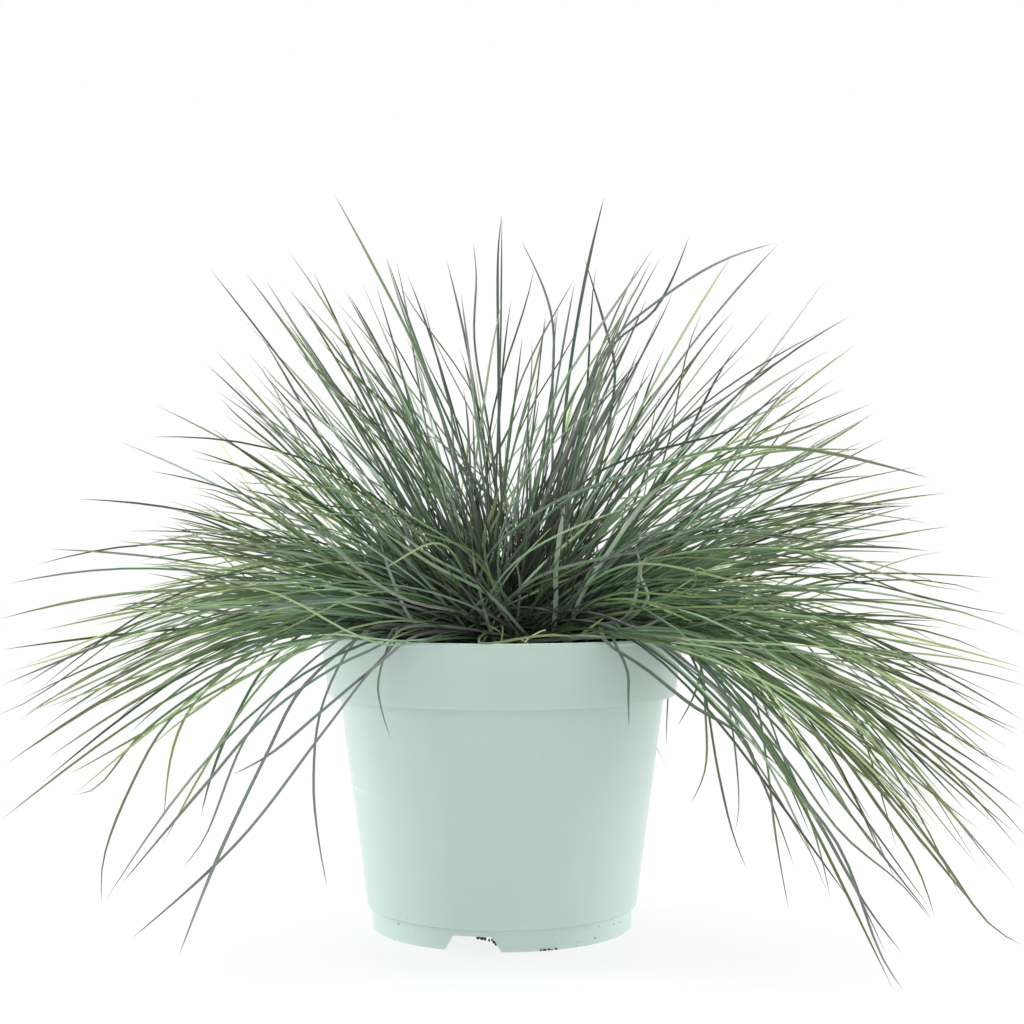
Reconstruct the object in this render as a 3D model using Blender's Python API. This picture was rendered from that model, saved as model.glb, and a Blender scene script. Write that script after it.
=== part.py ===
"""Potted blue fescue clump, at its real size.

The origin is the centre of the pot's footprint, on the surface that the pot stands on.
+Z is up and -Y is the front. Lengths are in metres and angles in degrees.
A lean is measured from upright, and an azimuth from +X towards +Y.
"""
import math
import random
from collections import namedtuple

import bmesh
import bpy
from mathutils import Matrix, Vector

# Pot, a 19 cm grower's pot of about 3 litres
POT_HEIGHT = 0.1527
RIM_RADIUS = 0.0953
LIP_HEIGHT = 0.0022
LIP_PROUD = 0.0004
COLLAR_BOTTOM_Z = 0.1206
COLLAR_BOTTOM_RADIUS = 0.0905
BODY_TOP_RADIUS = 0.0845
BODY_BOTTOM_RADIUS = 0.0702
FOOT_HEIGHT = 0.0105
FOOT_RADIUS = 0.0676
FOOT_WALL = 0.0024
STEP_RISE = 0.0008
WALL = 0.0014
FLOOR_UNDERSIDE_Z = 0.0086
FLOOR_THICKNESS = 0.0016
POT_SIDES = 40

# Drain notches in the foot, each with a drain hole in the floor behind it
NOTCH_COUNT = 3
FIRST_NOTCH_AZIMUTH = -102.2
NOTCH_BOTTOM_WIDTH = 0.030
NOTCH_TOP_WIDTH = 0.020
NOTCH_HEIGHT = 0.0075
DRAIN_HOLE_RADIUS = 0.0055
DRAIN_HOLE_RING = 0.0565
DRAIN_HOLE_SIDES = 12

# Soil and crown
GAP = 0.0003
SOIL_Z = 0.1415
SOIL_ROUGHNESS = 0.0012
SOIL_RING_RADII = (0.078, 0.066, 0.054)
CROWN_RADIUS = 0.047
CROWN_EDGE_RISE = 0.0045
CROWN_RISE = 0.0150
CROWN_SIDES = 24
CROWN_RINGS = 5

# Rings of leaf tufts, from the heart outwards. Radius is the distance of a tuft's root from
# the axis, and clear_share is the share of the half circle that is kept clear at the front.
Ring = namedtuple("Ring", "name tufts radius lean droop length clear_share steps colour")
RINGS = (
    Ring("heart", 5, 0.0100, 10.0, 18.0, 0.222, 0.04, 4, (0.105, 0.150, 0.085)),
    Ring("inner", 9, 0.0200, 27.0, 25.0, 0.234, 0.10, 4, (0.115, 0.175, 0.095)),
    Ring("middle", 12, 0.0290, 45.0, 32.0, 0.240, 0.15, 5, (0.120, 0.190, 0.090)),
    Ring("outer", 14, 0.0370, 60.0, 46.0, 0.250, 0.18, 5, (0.130, 0.205, 0.085)),
    Ring("skirt", 14, 0.0440, 69.0, 86.0, 0.330, 0.20, 5, (0.135, 0.215, 0.080)),
)

# How far the longest skirt leaves reach, seen from above
REACH_RADIUS = 0.286
REACH_FRONT_BACK = 0.238

# One tuft: a sheath of five folded leaf bases that part into five leaves
LEAVES_PER_TUFT = 5
SHEATH_LENGTH = 0.012
SHEATH_BOTTOM_RADIUS = 0.0040
SHEATH_TOP_RADIUS = 0.0037
LEAF_SPREAD_LEAN = 4.5
LEAF_SPREAD_AZIMUTH = 6.0
LEAST_LEAN_FOR_AZIMUTH = 30.0
LEAF_TAPER_POWER = 0.6
DROOP_POWER = 1.1
RIGHT_SIDE_EXTRA_DROOP = 0.16

# How much one tuft differs from the next
ROOT_AZIMUTH_SPREAD = 3.0
LEAN_SPREAD = 2.0
DROOP_SHARES = (0.94, 1.06)
LENGTH_SHARES = (0.93, 1.04)
SIDE_LEAF_SHARES = (0.62, 0.86)
SEED = 11

FRONT = -90.0
BISECTIONS = 30
WELD_DISTANCE = 0.00001
SMOOTH_ANGLE = math.radians(35)


def clear_scene():
    for item in list(bpy.data.objects):
        bpy.data.objects.remove(item, do_unlink=True)


def make_material(name, colour, roughness, metallic=0.0):
    material = bpy.data.materials.new(name)
    material.use_nodes = True
    shader = material.node_tree.nodes["Principled BSDF"]
    shader.inputs["Base Color"].default_value = (*colour, 1.0)
    shader.inputs["Roughness"].default_value = roughness
    shader.inputs["Metallic"].default_value = metallic
    return material


def make_object(name, bm, material=None):
    mesh = bpy.data.meshes.new(name)
    bm.to_mesh(mesh)
    bm.free()
    if material:
        mesh.materials.append(material)
    mesh.shade_smooth()
    mesh.set_sharp_from_angle(angle=SMOOTH_ANGLE)
    item = bpy.data.objects.new(name, mesh)
    bpy.context.collection.objects.link(item)
    return item


def turned_mesh(profile, sides):
    """Spin a profile, whose two ends lie on the axis, into one closed mesh."""
    bm = bmesh.new()
    points = [bm.verts.new((radius, 0.0, z)) for radius, z in profile]
    edges = [bm.edges.new(pair) for pair in zip(points, points[1:])]
    bmesh.ops.spin(
        bm,
        geom=points + edges,
        cent=(0, 0, 0),
        axis=(0, 0, 1),
        angle=math.tau,
        steps=sides,
        use_merge=True,
    )
    bmesh.ops.remove_doubles(bm, verts=bm.verts, dist=WELD_DISTANCE)
    bmesh.ops.recalc_face_normals(bm, faces=bm.faces)
    return bm


# Pot

FLOOR_TOP_Z = FLOOR_UNDERSIDE_Z + FLOOR_THICKNESS
FOOT_INSIDE = FOOT_RADIUS - FOOT_WALL
HEEL_Z = FOOT_HEIGHT + STEP_RISE + 2 * WALL


def body_radius(z):
    """Outer radius of the pot's tapered body at a height."""
    share = (z - FOOT_HEIGHT) / (COLLAR_BOTTOM_Z - FOOT_HEIGHT)
    return BODY_BOTTOM_RADIUS + share * (BODY_TOP_RADIUS - BODY_BOTTOM_RADIUS)


def collar_radius(z):
    """Outer radius of the pot's collar at a height."""
    share = (z - COLLAR_BOTTOM_Z) / (POT_HEIGHT - COLLAR_BOTTOM_Z)
    return COLLAR_BOTTOM_RADIUS + share * (RIM_RADIUS - LIP_PROUD - COLLAR_BOTTOM_RADIUS)


def pot_profile():
    """Outside from the floor's middle down and up to the lip, then back down the inside."""
    lip_z = POT_HEIGHT - LIP_HEIGHT
    inner_step_z = COLLAR_BOTTOM_Z + WALL
    return [
        (0.0, FLOOR_UNDERSIDE_Z),
        (FOOT_INSIDE, FLOOR_UNDERSIDE_Z),
        (FOOT_INSIDE, 0.0),
        (FOOT_RADIUS, 0.0),
        (FOOT_RADIUS, FOOT_HEIGHT),
        (BODY_BOTTOM_RADIUS, FOOT_HEIGHT + STEP_RISE),
        (BODY_TOP_RADIUS, COLLAR_BOTTOM_Z),
        (COLLAR_BOTTOM_RADIUS, COLLAR_BOTTOM_Z),
        (collar_radius(lip_z), lip_z),
        (RIM_RADIUS, lip_z + LIP_PROUD),
        (RIM_RADIUS, POT_HEIGHT),
        (collar_radius(POT_HEIGHT) - WALL, POT_HEIGHT),
        (collar_radius(inner_step_z) - WALL, inner_step_z),
        (body_radius(inner_step_z) - WALL, inner_step_z),
        (body_radius(HEEL_Z) - WALL, HEEL_Z),
        (FOOT_INSIDE, FLOOR_TOP_Z),
        (0.0, FLOOR_TOP_Z),
    ]


def add_notch(bm, azimuth):
    """A wedge that is wider at the bottom, laid through the foot's wall."""
    inside = FOOT_RADIUS - 3 * FOOT_WALL
    outside = FOOT_RADIUS + 2 * FOOT_WALL
    section = (
        (-NOTCH_BOTTOM_WIDTH / 2, -GAP),
        (NOTCH_BOTTOM_WIDTH / 2, -GAP),
        (NOTCH_TOP_WIDTH / 2, NOTCH_HEIGHT),
        (-NOTCH_TOP_WIDTH / 2, NOTCH_HEIGHT),
    )
    corners = [bm.verts.new((inside, across, z)) for across, z in section]
    near_face = bm.faces.new(corners)
    extruded = bmesh.ops.extrude_face_region(bm, geom=[near_face])["geom"]
    far = [part for part in extruded if isinstance(part, bmesh.types.BMVert)]
    bmesh.ops.translate(bm, verts=far, vec=(outside - inside, 0, 0))
    turn = Matrix.Rotation(math.radians(azimuth), 3, "Z")
    bmesh.ops.rotate(bm, verts=corners + far, cent=(0, 0, 0), matrix=turn)


def add_drain_hole(bm, azimuth):
    """A drill through the pot's floor."""
    angle = math.radians(azimuth)
    middle_z = (FLOOR_UNDERSIDE_Z + FLOOR_TOP_Z) / 2
    place = Matrix.Translation(
        (DRAIN_HOLE_RING * math.cos(angle), DRAIN_HOLE_RING * math.sin(angle), middle_z)
    )
    bmesh.ops.create_cone(
        bm,
        cap_ends=True,
        segments=DRAIN_HOLE_SIDES,
        radius1=DRAIN_HOLE_RADIUS,
        radius2=DRAIN_HOLE_RADIUS,
        depth=2 * FLOOR_THICKNESS,
        matrix=place,
    )


def build_pot():
    plastic = make_material("pale_mint_plastic", (0.47, 0.60, 0.555), 0.42)
    pot = make_object("pot", turned_mesh(pot_profile(), POT_SIDES), plastic)

    cuts = bmesh.new()
    for index in range(NOTCH_COUNT):
        azimuth = FIRST_NOTCH_AZIMUTH + index * 360 / NOTCH_COUNT
        add_notch(cuts, azimuth)
        add_drain_hole(cuts, azimuth)
    bmesh.ops.recalc_face_normals(cuts, faces=cuts.faces)
    cutter = make_object("drain_cutter", cuts)
    cutter.hide_render = True
    cutter.display_type = "WIRE"

    drain = pot.modifiers.new("drain_openings", "BOOLEAN")
    drain.operation = "DIFFERENCE"
    drain.object = cutter


# Potting soil

def build_soil():
    """The root ball: it takes the pot's inner shape and stops a little under the rim."""
    soil = make_material("potting_soil", (0.030, 0.020, 0.014), 0.95)
    step_z = COLLAR_BOTTOM_Z + WALL + GAP
    inner = WALL + 2 * GAP
    profile = [
        (0.0, FLOOR_TOP_Z + GAP),
        (FOOT_INSIDE - 2 * GAP, FLOOR_TOP_Z + GAP),
        (body_radius(HEEL_Z) - inner, HEEL_Z + GAP),
        (body_radius(step_z) - inner, step_z),
        (collar_radius(step_z) - inner, step_z),
        (collar_radius(SOIL_Z) - inner, SOIL_Z),
    ]
    profile += [(radius, SOIL_Z) for radius in SOIL_RING_RADII]
    profile += [(CROWN_RADIUS + GAP, SOIL_Z), (0.0, SOIL_Z)]
    bm = turned_mesh(profile, POT_SIDES)

    rng = random.Random(SEED)
    for vertex in bm.verts:
        on_top = abs(vertex.co.z - SOIL_Z) < WELD_DISTANCE
        radius = vertex.co.xy.length
        if on_top and any(abs(radius - ring) < WELD_DISTANCE for ring in SOIL_RING_RADII):
            vertex.co.z += rng.uniform(-SOIL_ROUGHNESS, SOIL_ROUGHNESS)
    make_object("potting_soil", bm, soil)


# Crown

CROWN_BOTTOM_Z = SOIL_Z + GAP
CROWN_EDGE_Z = CROWN_BOTTOM_Z + CROWN_EDGE_RISE


def crown_z(radius):
    """Height of the crown's domed top at a distance from the axis."""
    return CROWN_EDGE_Z + CROWN_RISE * (1 - (radius / CROWN_RADIUS) ** 2)


def crown_normal(radius, azimuth):
    """Direction that points straight out of the dome at a place on it."""
    slope = 2 * CROWN_RISE * radius / CROWN_RADIUS ** 2
    angle = math.radians(azimuth)
    return Vector((slope * math.cos(angle), slope * math.sin(angle), 1.0)).normalized()


def build_crown():
    straw = make_material("crown_sheaths", (0.160, 0.115, 0.070), 0.85)
    radii = [CROWN_RADIUS * (1 - ring / CROWN_RINGS) for ring in range(CROWN_RINGS + 1)]
    dome = [(radius, crown_z(radius)) for radius in radii]
    profile = [(0.0, CROWN_BOTTOM_Z), (CROWN_RADIUS, CROWN_BOTTOM_Z)] + dome
    make_object("crown", turned_mesh(profile, CROWN_SIDES), straw)


# Leaf tufts

def off_front(azimuth):
    """How far an azimuth lies from the front, from -180 to 180."""
    return (azimuth - FRONT + 180) % 360 - 180


def steer(azimuth, clear_share):
    """Turn an azimuth away from the front, so that the clump parts there."""
    off = off_front(azimuth)
    aside = 180 * clear_share + (1 - clear_share) * abs(off)
    return FRONT + math.copysign(aside, off)


def direction(azimuth, lean):
    angle = math.radians(azimuth)
    tilt = math.radians(lean)
    return Vector((math.sin(tilt) * math.cos(angle), math.sin(tilt) * math.sin(angle), math.cos(tilt)))


def leaf_path(start, azimuth, lean, droop, length, steps):
    """Points of a leaf that sets out at its lean and bends over towards its tip."""
    points = [start.copy()]
    for step in range(steps):
        share = (step + 0.5) / steps
        bent = lean + droop * share ** DROOP_POWER
        points.append(points[-1] + direction(azimuth, bent) * (length / steps))
    return points


def reach(azimuth):
    """Distance from the axis to the clump's outline, seen from above."""
    across = abs(math.sin(math.radians(azimuth)))
    return min(REACH_RADIUS, REACH_FRONT_BACK / max(across, WELD_DISTANCE))


def length_to_outline(start, azimuth, lean, droop, steps):
    """Leaf length whose tip just meets the outline."""
    tip = leaf_path(start, azimuth, lean, droop, 1.0, steps)[-1] - start
    flat = tip.xy
    begin = start.xy
    low, high = 0.0, 1.0
    for _ in range(BISECTIONS):
        middle = (low + high) / 2
        place = begin + flat * middle
        if place.length < reach(math.degrees(math.atan2(place.y, place.x))):
            low = middle
        else:
            high = middle
    return low


def tuft_layout():
    """The facts of each tuft, ring by ring."""
    rng = random.Random(SEED)
    side_leaves = range(1, LEAVES_PER_TUFT)
    rows = []
    for order, ring in enumerate(RINGS):
        half_step = 0.5 * (order % 2)
        for index in range(ring.tufts):
            even_azimuth = 360 * (index + half_step) / ring.tufts
            root_azimuth = even_azimuth + rng.uniform(-ROOT_AZIMUTH_SPREAD, ROOT_AZIMUTH_SPREAD)
            azimuth = steer(root_azimuth, ring.clear_share)
            side = 1 + RIGHT_SIDE_EXTRA_DROOP * math.cos(math.radians(azimuth))
            rows.append({
                "name": f"tuft_{ring.name}_{index + 1:02d}",
                "ring": ring,
                "root_azimuth": root_azimuth,
                "azimuth": azimuth,
                "lean": ring.lean + rng.uniform(-LEAN_SPREAD, LEAN_SPREAD),
                "droop": ring.droop * side * rng.uniform(*DROOP_SHARES),
                "length": ring.length * rng.uniform(*LENGTH_SHARES),
                "leaf_shares": [1.0] + [rng.uniform(*SIDE_LEAF_SHARES) for _ in side_leaves],
            })
    return rows


def ring_points(centre, along, outward, radius):
    """Five points around a direction, the first of them on its outward side."""
    sideways = along.cross(outward).normalized()
    upward = sideways.cross(along).normalized()
    points = []
    for corner in range(LEAVES_PER_TUFT):
        angle = math.tau * corner / LEAVES_PER_TUFT
        points.append(centre + radius * (math.cos(angle) * upward + math.sin(angle) * sideways))
    return points


def flat_share(lean):
    """Level part of a leaf's run, kept from zero so that upright leaves still swing aside."""
    return math.sin(math.radians(max(lean, LEAST_LEAN_FOR_AZIMUTH)))


def tuft_root(row):
    """Where a tuft stands on the crown's dome, and the dome's normal there."""
    angle = math.radians(row["root_azimuth"])
    radius = row["ring"].radius
    normal = crown_normal(radius, row["root_azimuth"])
    place = Vector((radius * math.cos(angle), radius * math.sin(angle), crown_z(radius)))
    return place + normal * GAP, normal


def build_sheath(bm, row, along, outward):
    """A five-sided stem whose top is split into five triangles, one for each leaf."""
    root, normal = tuft_root(row)
    top = root + along * SHEATH_LENGTH
    bottom_ring = ring_points(root, normal, outward, SHEATH_BOTTOM_RADIUS)
    bottom = bm.faces.new([bm.verts.new(point) for point in bottom_ring])
    extruded = bmesh.ops.extrude_face_region(bm, geom=[bottom])["geom"]
    cap = next(part for part in extruded if isinstance(part, bmesh.types.BMFace))
    for vertex, point in zip(cap.verts, ring_points(top, along, outward, SHEATH_TOP_RADIUS)):
        vertex.co = point
    return top, bmesh.ops.poke(bm, faces=[cap])["faces"]


def draw_out_leaf(bm, face, path, along):
    """Extrude a triangle along a path, shrinking it to a point at the tip."""
    corners = [vertex.co - path[0] for vertex in face.verts]
    steps = len(path) - 1
    for step in range(1, steps + 1):
        face = bmesh.ops.extrude_discrete_faces(bm, faces=[face])["faces"][0]
        heading = (path[step] - path[step - 1]).normalized()
        bend = along.rotation_difference(heading)
        size = (1 - step / steps) ** LEAF_TAPER_POWER
        for vertex, corner in zip(face.verts, corners):
            vertex.co = path[step] + bend @ (corner * size)
    bmesh.ops.pointmerge(bm, verts=list(face.verts), merge_co=path[-1])


def build_tuft(row, material):
    """A shorter leaf bends as a longer one does up to that length, so the leaves don't cross."""
    ring = row["ring"]
    along = direction(row["azimuth"], row["lean"])
    outward = direction(row["azimuth"], row["lean"] + 90.0)
    sideways = along.cross(outward)

    bm = bmesh.new()
    top, fifths = build_sheath(bm, row, along, outward)
    for fifth, leaf_share in zip(list(fifths), row["leaf_shares"]):
        centre = fifth.calc_center_median()
        offset = (centre - top).normalized()
        lean = row["lean"] + LEAF_SPREAD_LEAN * offset.dot(outward)
        swing = LEAF_SPREAD_AZIMUTH * offset.dot(sideways)
        azimuth = row["azimuth"] + swing / flat_share(lean)
        longest = length_to_outline(centre, azimuth, lean, row["droop"], ring.steps)
        length = min(row["length"], longest) * leaf_share
        droop = row["droop"] * leaf_share ** DROOP_POWER
        path = leaf_path(centre, azimuth, lean, droop, length, ring.steps)
        draw_out_leaf(bm, fifth, path, along)
    bmesh.ops.recalc_face_normals(bm, faces=bm.faces)
    make_object(row["name"], bm, material)


def build_tufts():
    materials = {ring: make_material(f"leaf_{ring.name}", ring.colour, 0.55) for ring in RINGS}
    for row in tuft_layout():
        build_tuft(row, materials[row["ring"]])


def main():
    clear_scene()
    build_pot()
    build_soil()
    build_crown()
    build_tufts()


main()
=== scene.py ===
# %% [markdown]
# A potted blue fescue, dressed for its portrait.
# Blue fescue is a small ornamental grass. Each plant is a crowd of short stems, and each stem
# carries a fan of thin leaves folded along the middle, so from a step away it reads as a
# hedgehog of fine lines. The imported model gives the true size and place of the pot, the soil,
# the crown and every tuft. This lesson builds the visible surface of each one around that frame.

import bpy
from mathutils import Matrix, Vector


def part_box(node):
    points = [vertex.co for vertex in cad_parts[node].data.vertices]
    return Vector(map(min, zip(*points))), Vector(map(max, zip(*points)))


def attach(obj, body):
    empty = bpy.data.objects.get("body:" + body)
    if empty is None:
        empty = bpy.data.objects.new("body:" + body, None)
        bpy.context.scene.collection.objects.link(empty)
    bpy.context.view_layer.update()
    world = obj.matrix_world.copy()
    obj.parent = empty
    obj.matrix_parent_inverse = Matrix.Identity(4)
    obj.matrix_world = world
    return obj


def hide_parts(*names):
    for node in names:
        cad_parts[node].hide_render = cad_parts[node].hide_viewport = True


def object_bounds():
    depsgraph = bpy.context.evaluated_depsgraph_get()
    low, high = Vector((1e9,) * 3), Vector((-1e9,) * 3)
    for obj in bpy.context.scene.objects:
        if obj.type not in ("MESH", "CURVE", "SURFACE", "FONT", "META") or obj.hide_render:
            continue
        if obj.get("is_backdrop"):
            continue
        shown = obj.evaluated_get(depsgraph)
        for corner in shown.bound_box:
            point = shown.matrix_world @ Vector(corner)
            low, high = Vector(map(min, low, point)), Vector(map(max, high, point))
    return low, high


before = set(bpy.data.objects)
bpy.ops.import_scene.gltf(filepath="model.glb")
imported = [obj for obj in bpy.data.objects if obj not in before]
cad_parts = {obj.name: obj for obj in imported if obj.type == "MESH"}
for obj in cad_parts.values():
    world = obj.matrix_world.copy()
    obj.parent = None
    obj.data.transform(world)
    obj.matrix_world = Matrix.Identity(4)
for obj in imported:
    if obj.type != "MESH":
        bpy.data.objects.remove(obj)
cad_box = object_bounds()
print(f"{len(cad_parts)} nodes in the frame, standing {cad_box[1].z * 1000:.0f} mm high")

# %% Modules
import math
import random
from collections import namedtuple

import bmesh
import bpy
import numpy as np
from mathutils import Vector

# %% [markdown]
# The camera comes first, because several leaves are later placed by the pixel where their tip is
# seen. The photograph was taken level, from just above the pot's rim and about a metre away.
# A pinhole view is enough to turn a pixel and a depth into a place: the further away the point,
# the more millimetres one pixel covers.

# %% Camera
FRAME_PIXELS = 1024
LENS = 0.06699
SENSOR = 0.036
CAMERA_PLACE = Vector((0.0052, -0.998, 0.2152))
FOCAL_PIXELS = LENS / SENSOR * FRAME_PIXELS

camera_data = bpy.data.cameras.new("portrait_camera")
camera_data.lens = LENS * 1000
camera_data.sensor_width = SENSOR * 1000
camera = bpy.data.objects.new("portrait_camera", camera_data)
camera.location = CAMERA_PLACE
camera.rotation_euler = (math.radians(90), 0, 0)
bpy.context.scene.collection.objects.link(camera)
bpy.context.scene.camera = camera


def seen_at(pixel, depth):
    """Place in the room that shows at a pixel, on the upright plane y = depth."""
    away = depth - CAMERA_PLACE.y
    across, row = pixel
    x = CAMERA_PLACE.x + (across - FRAME_PIXELS / 2) * away / FOCAL_PIXELS
    z = CAMERA_PLACE.z - (row - FRAME_PIXELS / 2) * away / FOCAL_PIXELS
    return Vector((x, depth, z))


print("one pixel at the pot covers", round(-CAMERA_PLACE.y / FOCAL_PIXELS * 1000, 2), "mm")

# %% [markdown]
# A grass like this is photographed inside white walls, over a lit table. A white world gives the
# even light from all round. It is dimmer overhead, where a studio has only a dark ceiling and a
# lamp, so the leaves get a lit and a shaded side. Three large soft lamps lift the pot's two sides
# and the leaf tops, as the bright edges of the pot show.

# %% Light
WORLD_STRENGTH = 1.0
CEILING_STRENGTH = 0.50
CEILING_START = 0.32

world = bpy.data.worlds.new("white_studio")
world.use_nodes = True
world_nodes = world.node_tree.nodes
aim = world_nodes.new("ShaderNodeTexCoord")
upward = world_nodes.new("ShaderNodeSeparateXYZ")
strength = world_nodes.new("ShaderNodeMapRange")
strength.inputs["From Min"].default_value = CEILING_START
strength.inputs["To Min"].default_value = WORLD_STRENGTH
strength.inputs["To Max"].default_value = CEILING_STRENGTH
world.node_tree.links.new(aim.outputs["Generated"], upward.inputs["Vector"])
world.node_tree.links.new(upward.outputs["Z"], strength.inputs["Value"])
world.node_tree.links.new(strength.outputs["Result"], world_nodes["Background"].inputs["Strength"])
world_nodes["Background"].inputs["Color"].default_value = (1, 1, 1, 1)
bpy.context.scene.world = world
bpy.context.scene.view_settings.view_transform = "Standard"

Lamp = namedtuple("Lamp", "name place aim size watts")
LAMPS = (
    Lamp("left_softbox", (-1.30, 0.36, 0.34), (0, 0, 0.08), 1.1, 16.5),
    Lamp("right_softbox", (1.30, 0.36, 0.34), (0, 0, 0.08), 1.1, 16.0),
    Lamp("top_softbox", (0.0, 0.30, 1.50), (0, 0, 0.20), 0.8, 30.0),
)


def hang_lamp(lamp):
    data = bpy.data.lights.new(lamp.name, "AREA")
    data.size = lamp.size
    data.energy = lamp.watts
    item = bpy.data.objects.new(lamp.name, data)
    item.location = lamp.place
    item.rotation_euler = (Vector(lamp.aim) - Vector(lamp.place)).to_track_quat("-Z", "Y").to_euler()
    item.visible_camera = False
    bpy.context.scene.collection.objects.link(item)


for lamp in LAMPS:
    hang_lamp(lamp)
print("lamps:", ", ".join(lamp.name for lamp in LAMPS))

# %% [markdown]
# Operators act on whatever is selected, and the loaded nodes come in selected. So each new shape
# starts from a clean slate, and a few small helpers select the parts of a mesh by their place.
# Every finished piece keeps its object at the origin with its place in the mesh.

# %% Helpers for modelling
def deselect_all():
    if bpy.context.object and bpy.context.object.mode != "OBJECT":
        bpy.ops.object.mode_set(mode="OBJECT")
    bpy.ops.object.select_all(action="DESELECT")


def pick(item):
    deselect_all()
    item.select_set(True)
    bpy.context.view_layer.objects.active = item


def name_new(name):
    """Name the primitive that was just added, and put its place into its mesh."""
    item = bpy.context.object
    item.name = name
    item.data.name = name
    bpy.ops.object.transform_apply(location=True, rotation=True, scale=True)
    return item


def select_where(item, test):
    """In edit mode, select the vertices whose place passes a test."""
    bpy.ops.mesh.select_mode(type="VERT")
    bpy.ops.mesh.select_all(action="DESELECT")
    mesh = bmesh.from_edit_mesh(item.data)
    for vertex in mesh.verts:
        vertex.select = test(vertex.co)
    mesh.select_flush(True)
    bmesh.update_edit_mesh(item.data)


def apply_modifier(item, kind, **settings):
    pick(item)
    modifier = item.modifiers.new(kind.lower(), kind)
    for key, value in settings.items():
        setattr(modifier, key, value)
    bpy.ops.object.modifier_apply(modifier=modifier.name)


def finish_piece(item, slot, *nodes, smooth_angle=35):
    pick(item)
    bpy.ops.object.shade_smooth_by_angle(angle=math.radians(smooth_angle))
    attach(item, "root")
    if nodes:
        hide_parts(*nodes)


# %% [markdown]
# Materials are built from nodes. A small set of helpers keeps each recipe short: one adds a node
# and plugs values or other nodes into its sockets, and one spreads colours along a ramp.

# %% Helpers for materials
def new_material(name):
    material = bpy.data.materials.new(name)
    material.use_nodes = True
    return material, material.node_tree, material.node_tree.nodes["Principled BSDF"]


def add_node(tree, kind, inputs=None, **settings):
    node = tree.nodes.new(kind)
    for key, value in settings.items():
        setattr(node, key, value)
    for key, value in (inputs or {}).items():
        if isinstance(value, bpy.types.NodeSocket):
            tree.links.new(value, node.inputs[key])
        else:
            node.inputs[key].default_value = value
    return node


def ramp(tree, source, stops, interpolation="LINEAR"):
    """Spread colours along a value: stops are (place, colour) pairs."""
    node = add_node(tree, "ShaderNodeValToRGB", {"Fac": source})
    node.color_ramp.interpolation = interpolation
    elements = node.color_ramp.elements
    while len(elements) < len(stops):
        elements.new(1.0)
    for element, (place, colour) in zip(elements, stops):
        element.position = place
        element.color = (*colour, 1.0) if len(colour) == 3 else colour
    return node.outputs["Color"]


def grey(value):
    return (value, value, value)


def mix_colours(tree, share, first, second, blend="MIX"):
    node = add_node(tree, "ShaderNodeMix", data_type="RGBA", blend_type=blend)
    for socket, value in ((node.inputs[0], share), (node.inputs[6], first), (node.inputs[7], second)):
        if isinstance(value, bpy.types.NodeSocket):
            tree.links.new(value, socket)
        else:
            socket.default_value = value if isinstance(value, float) else (*value, 1.0)
    return node.outputs[2]


def noise(tree, place, scale, detail=3.0, roughness=0.55):
    inputs = {"Vector": place, "Scale": scale, "Detail": detail, "Roughness": roughness}
    return add_node(tree, "ShaderNodeTexNoise", inputs).outputs["Fac"]


def object_place(tree, scale=(1, 1, 1)):
    coordinates = add_node(tree, "ShaderNodeTexCoord").outputs["Object"]
    return add_node(tree, "ShaderNodeMapping", {"Vector": coordinates, "Scale": scale}).outputs["Vector"]


def maths(tree, operation, first, second=0.5, clamp=False):
    node = add_node(tree, "ShaderNodeMath", {0: first, 1: second}, operation=operation, use_clamp=clamp)
    return node.outputs["Value"]


def between(tree, value, low, high):
    """Share of the way from low to high, held between 0 and 1."""
    inputs = {"Value": value, "From Min": low, "From Max": high}
    return add_node(tree, "ShaderNodeMapRange", inputs, clamp=True).outputs["Result"]


def bump(tree, shader, height, distance, strength=1.0):
    inputs = {"Height": height, "Distance": distance, "Strength": strength}
    node = add_node(tree, "ShaderNodeBump", inputs)
    tree.links.new(node.outputs["Normal"], shader.inputs["Normal"])


# %% [markdown]
# The floor is a wide pale sheet, lit from below as a product table is, so that hardly any shadow
# falls on it and light comes up into the drain notches. A faint gloss gives the soft mirror of
# the pot, and the glow grows with distance until the far edge cannot be told from the backdrop.

# %% Floor
FLOOR_RADIUS = 9.0
FLOOR_COLOUR = (0.84, 0.87, 0.85)
LEAST_GLOW = 0.78
GLOW_START = 0.16
GLOW_END = 0.55


def floor_material():
    material, tree, shader = new_material("glossy_white_sheet")
    place = add_node(tree, "ShaderNodeTexCoord").outputs["Object"]
    away = add_node(tree, "ShaderNodeVectorMath", {0: place}, operation="LENGTH").outputs["Value"]
    mottle = noise(tree, place, 3.0)
    pale = ramp(tree, mottle, ((0.3, FLOOR_COLOUR), (0.7, tuple(c + 0.012 for c in FLOOR_COLOUR))))
    tree.links.new(pale, shader.inputs["Base Color"])
    shader.inputs["Roughness"].default_value = 0.22
    shader.inputs["Specular IOR Level"].default_value = 0.35
    glow = add_node(tree, "ShaderNodeEmission", {"Color": (1, 1, 1, 1), "Strength": WORLD_STRENGTH})
    share = add_node(
        tree,
        "ShaderNodeMapRange",
        {"Value": away, "From Min": GLOW_START, "From Max": GLOW_END, "To Min": LEAST_GLOW},
        clamp=True,
    ).outputs["Result"]
    sockets = {0: share, 1: shader.outputs["BSDF"], 2: glow.outputs["Emission"]}
    mixed = add_node(tree, "ShaderNodeMixShader", sockets)
    tree.links.new(mixed.outputs["Shader"], tree.nodes["Material Output"].inputs["Surface"])
    return material


deselect_all()
bpy.ops.mesh.primitive_circle_add(vertices=96, radius=FLOOR_RADIUS, fill_type="NGON")
studio_floor = name_new("studio_floor")
studio_floor.data.materials.append(floor_material())
studio_floor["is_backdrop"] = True
print("floor disc", 2 * FLOOR_RADIUS, "m across")

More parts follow.
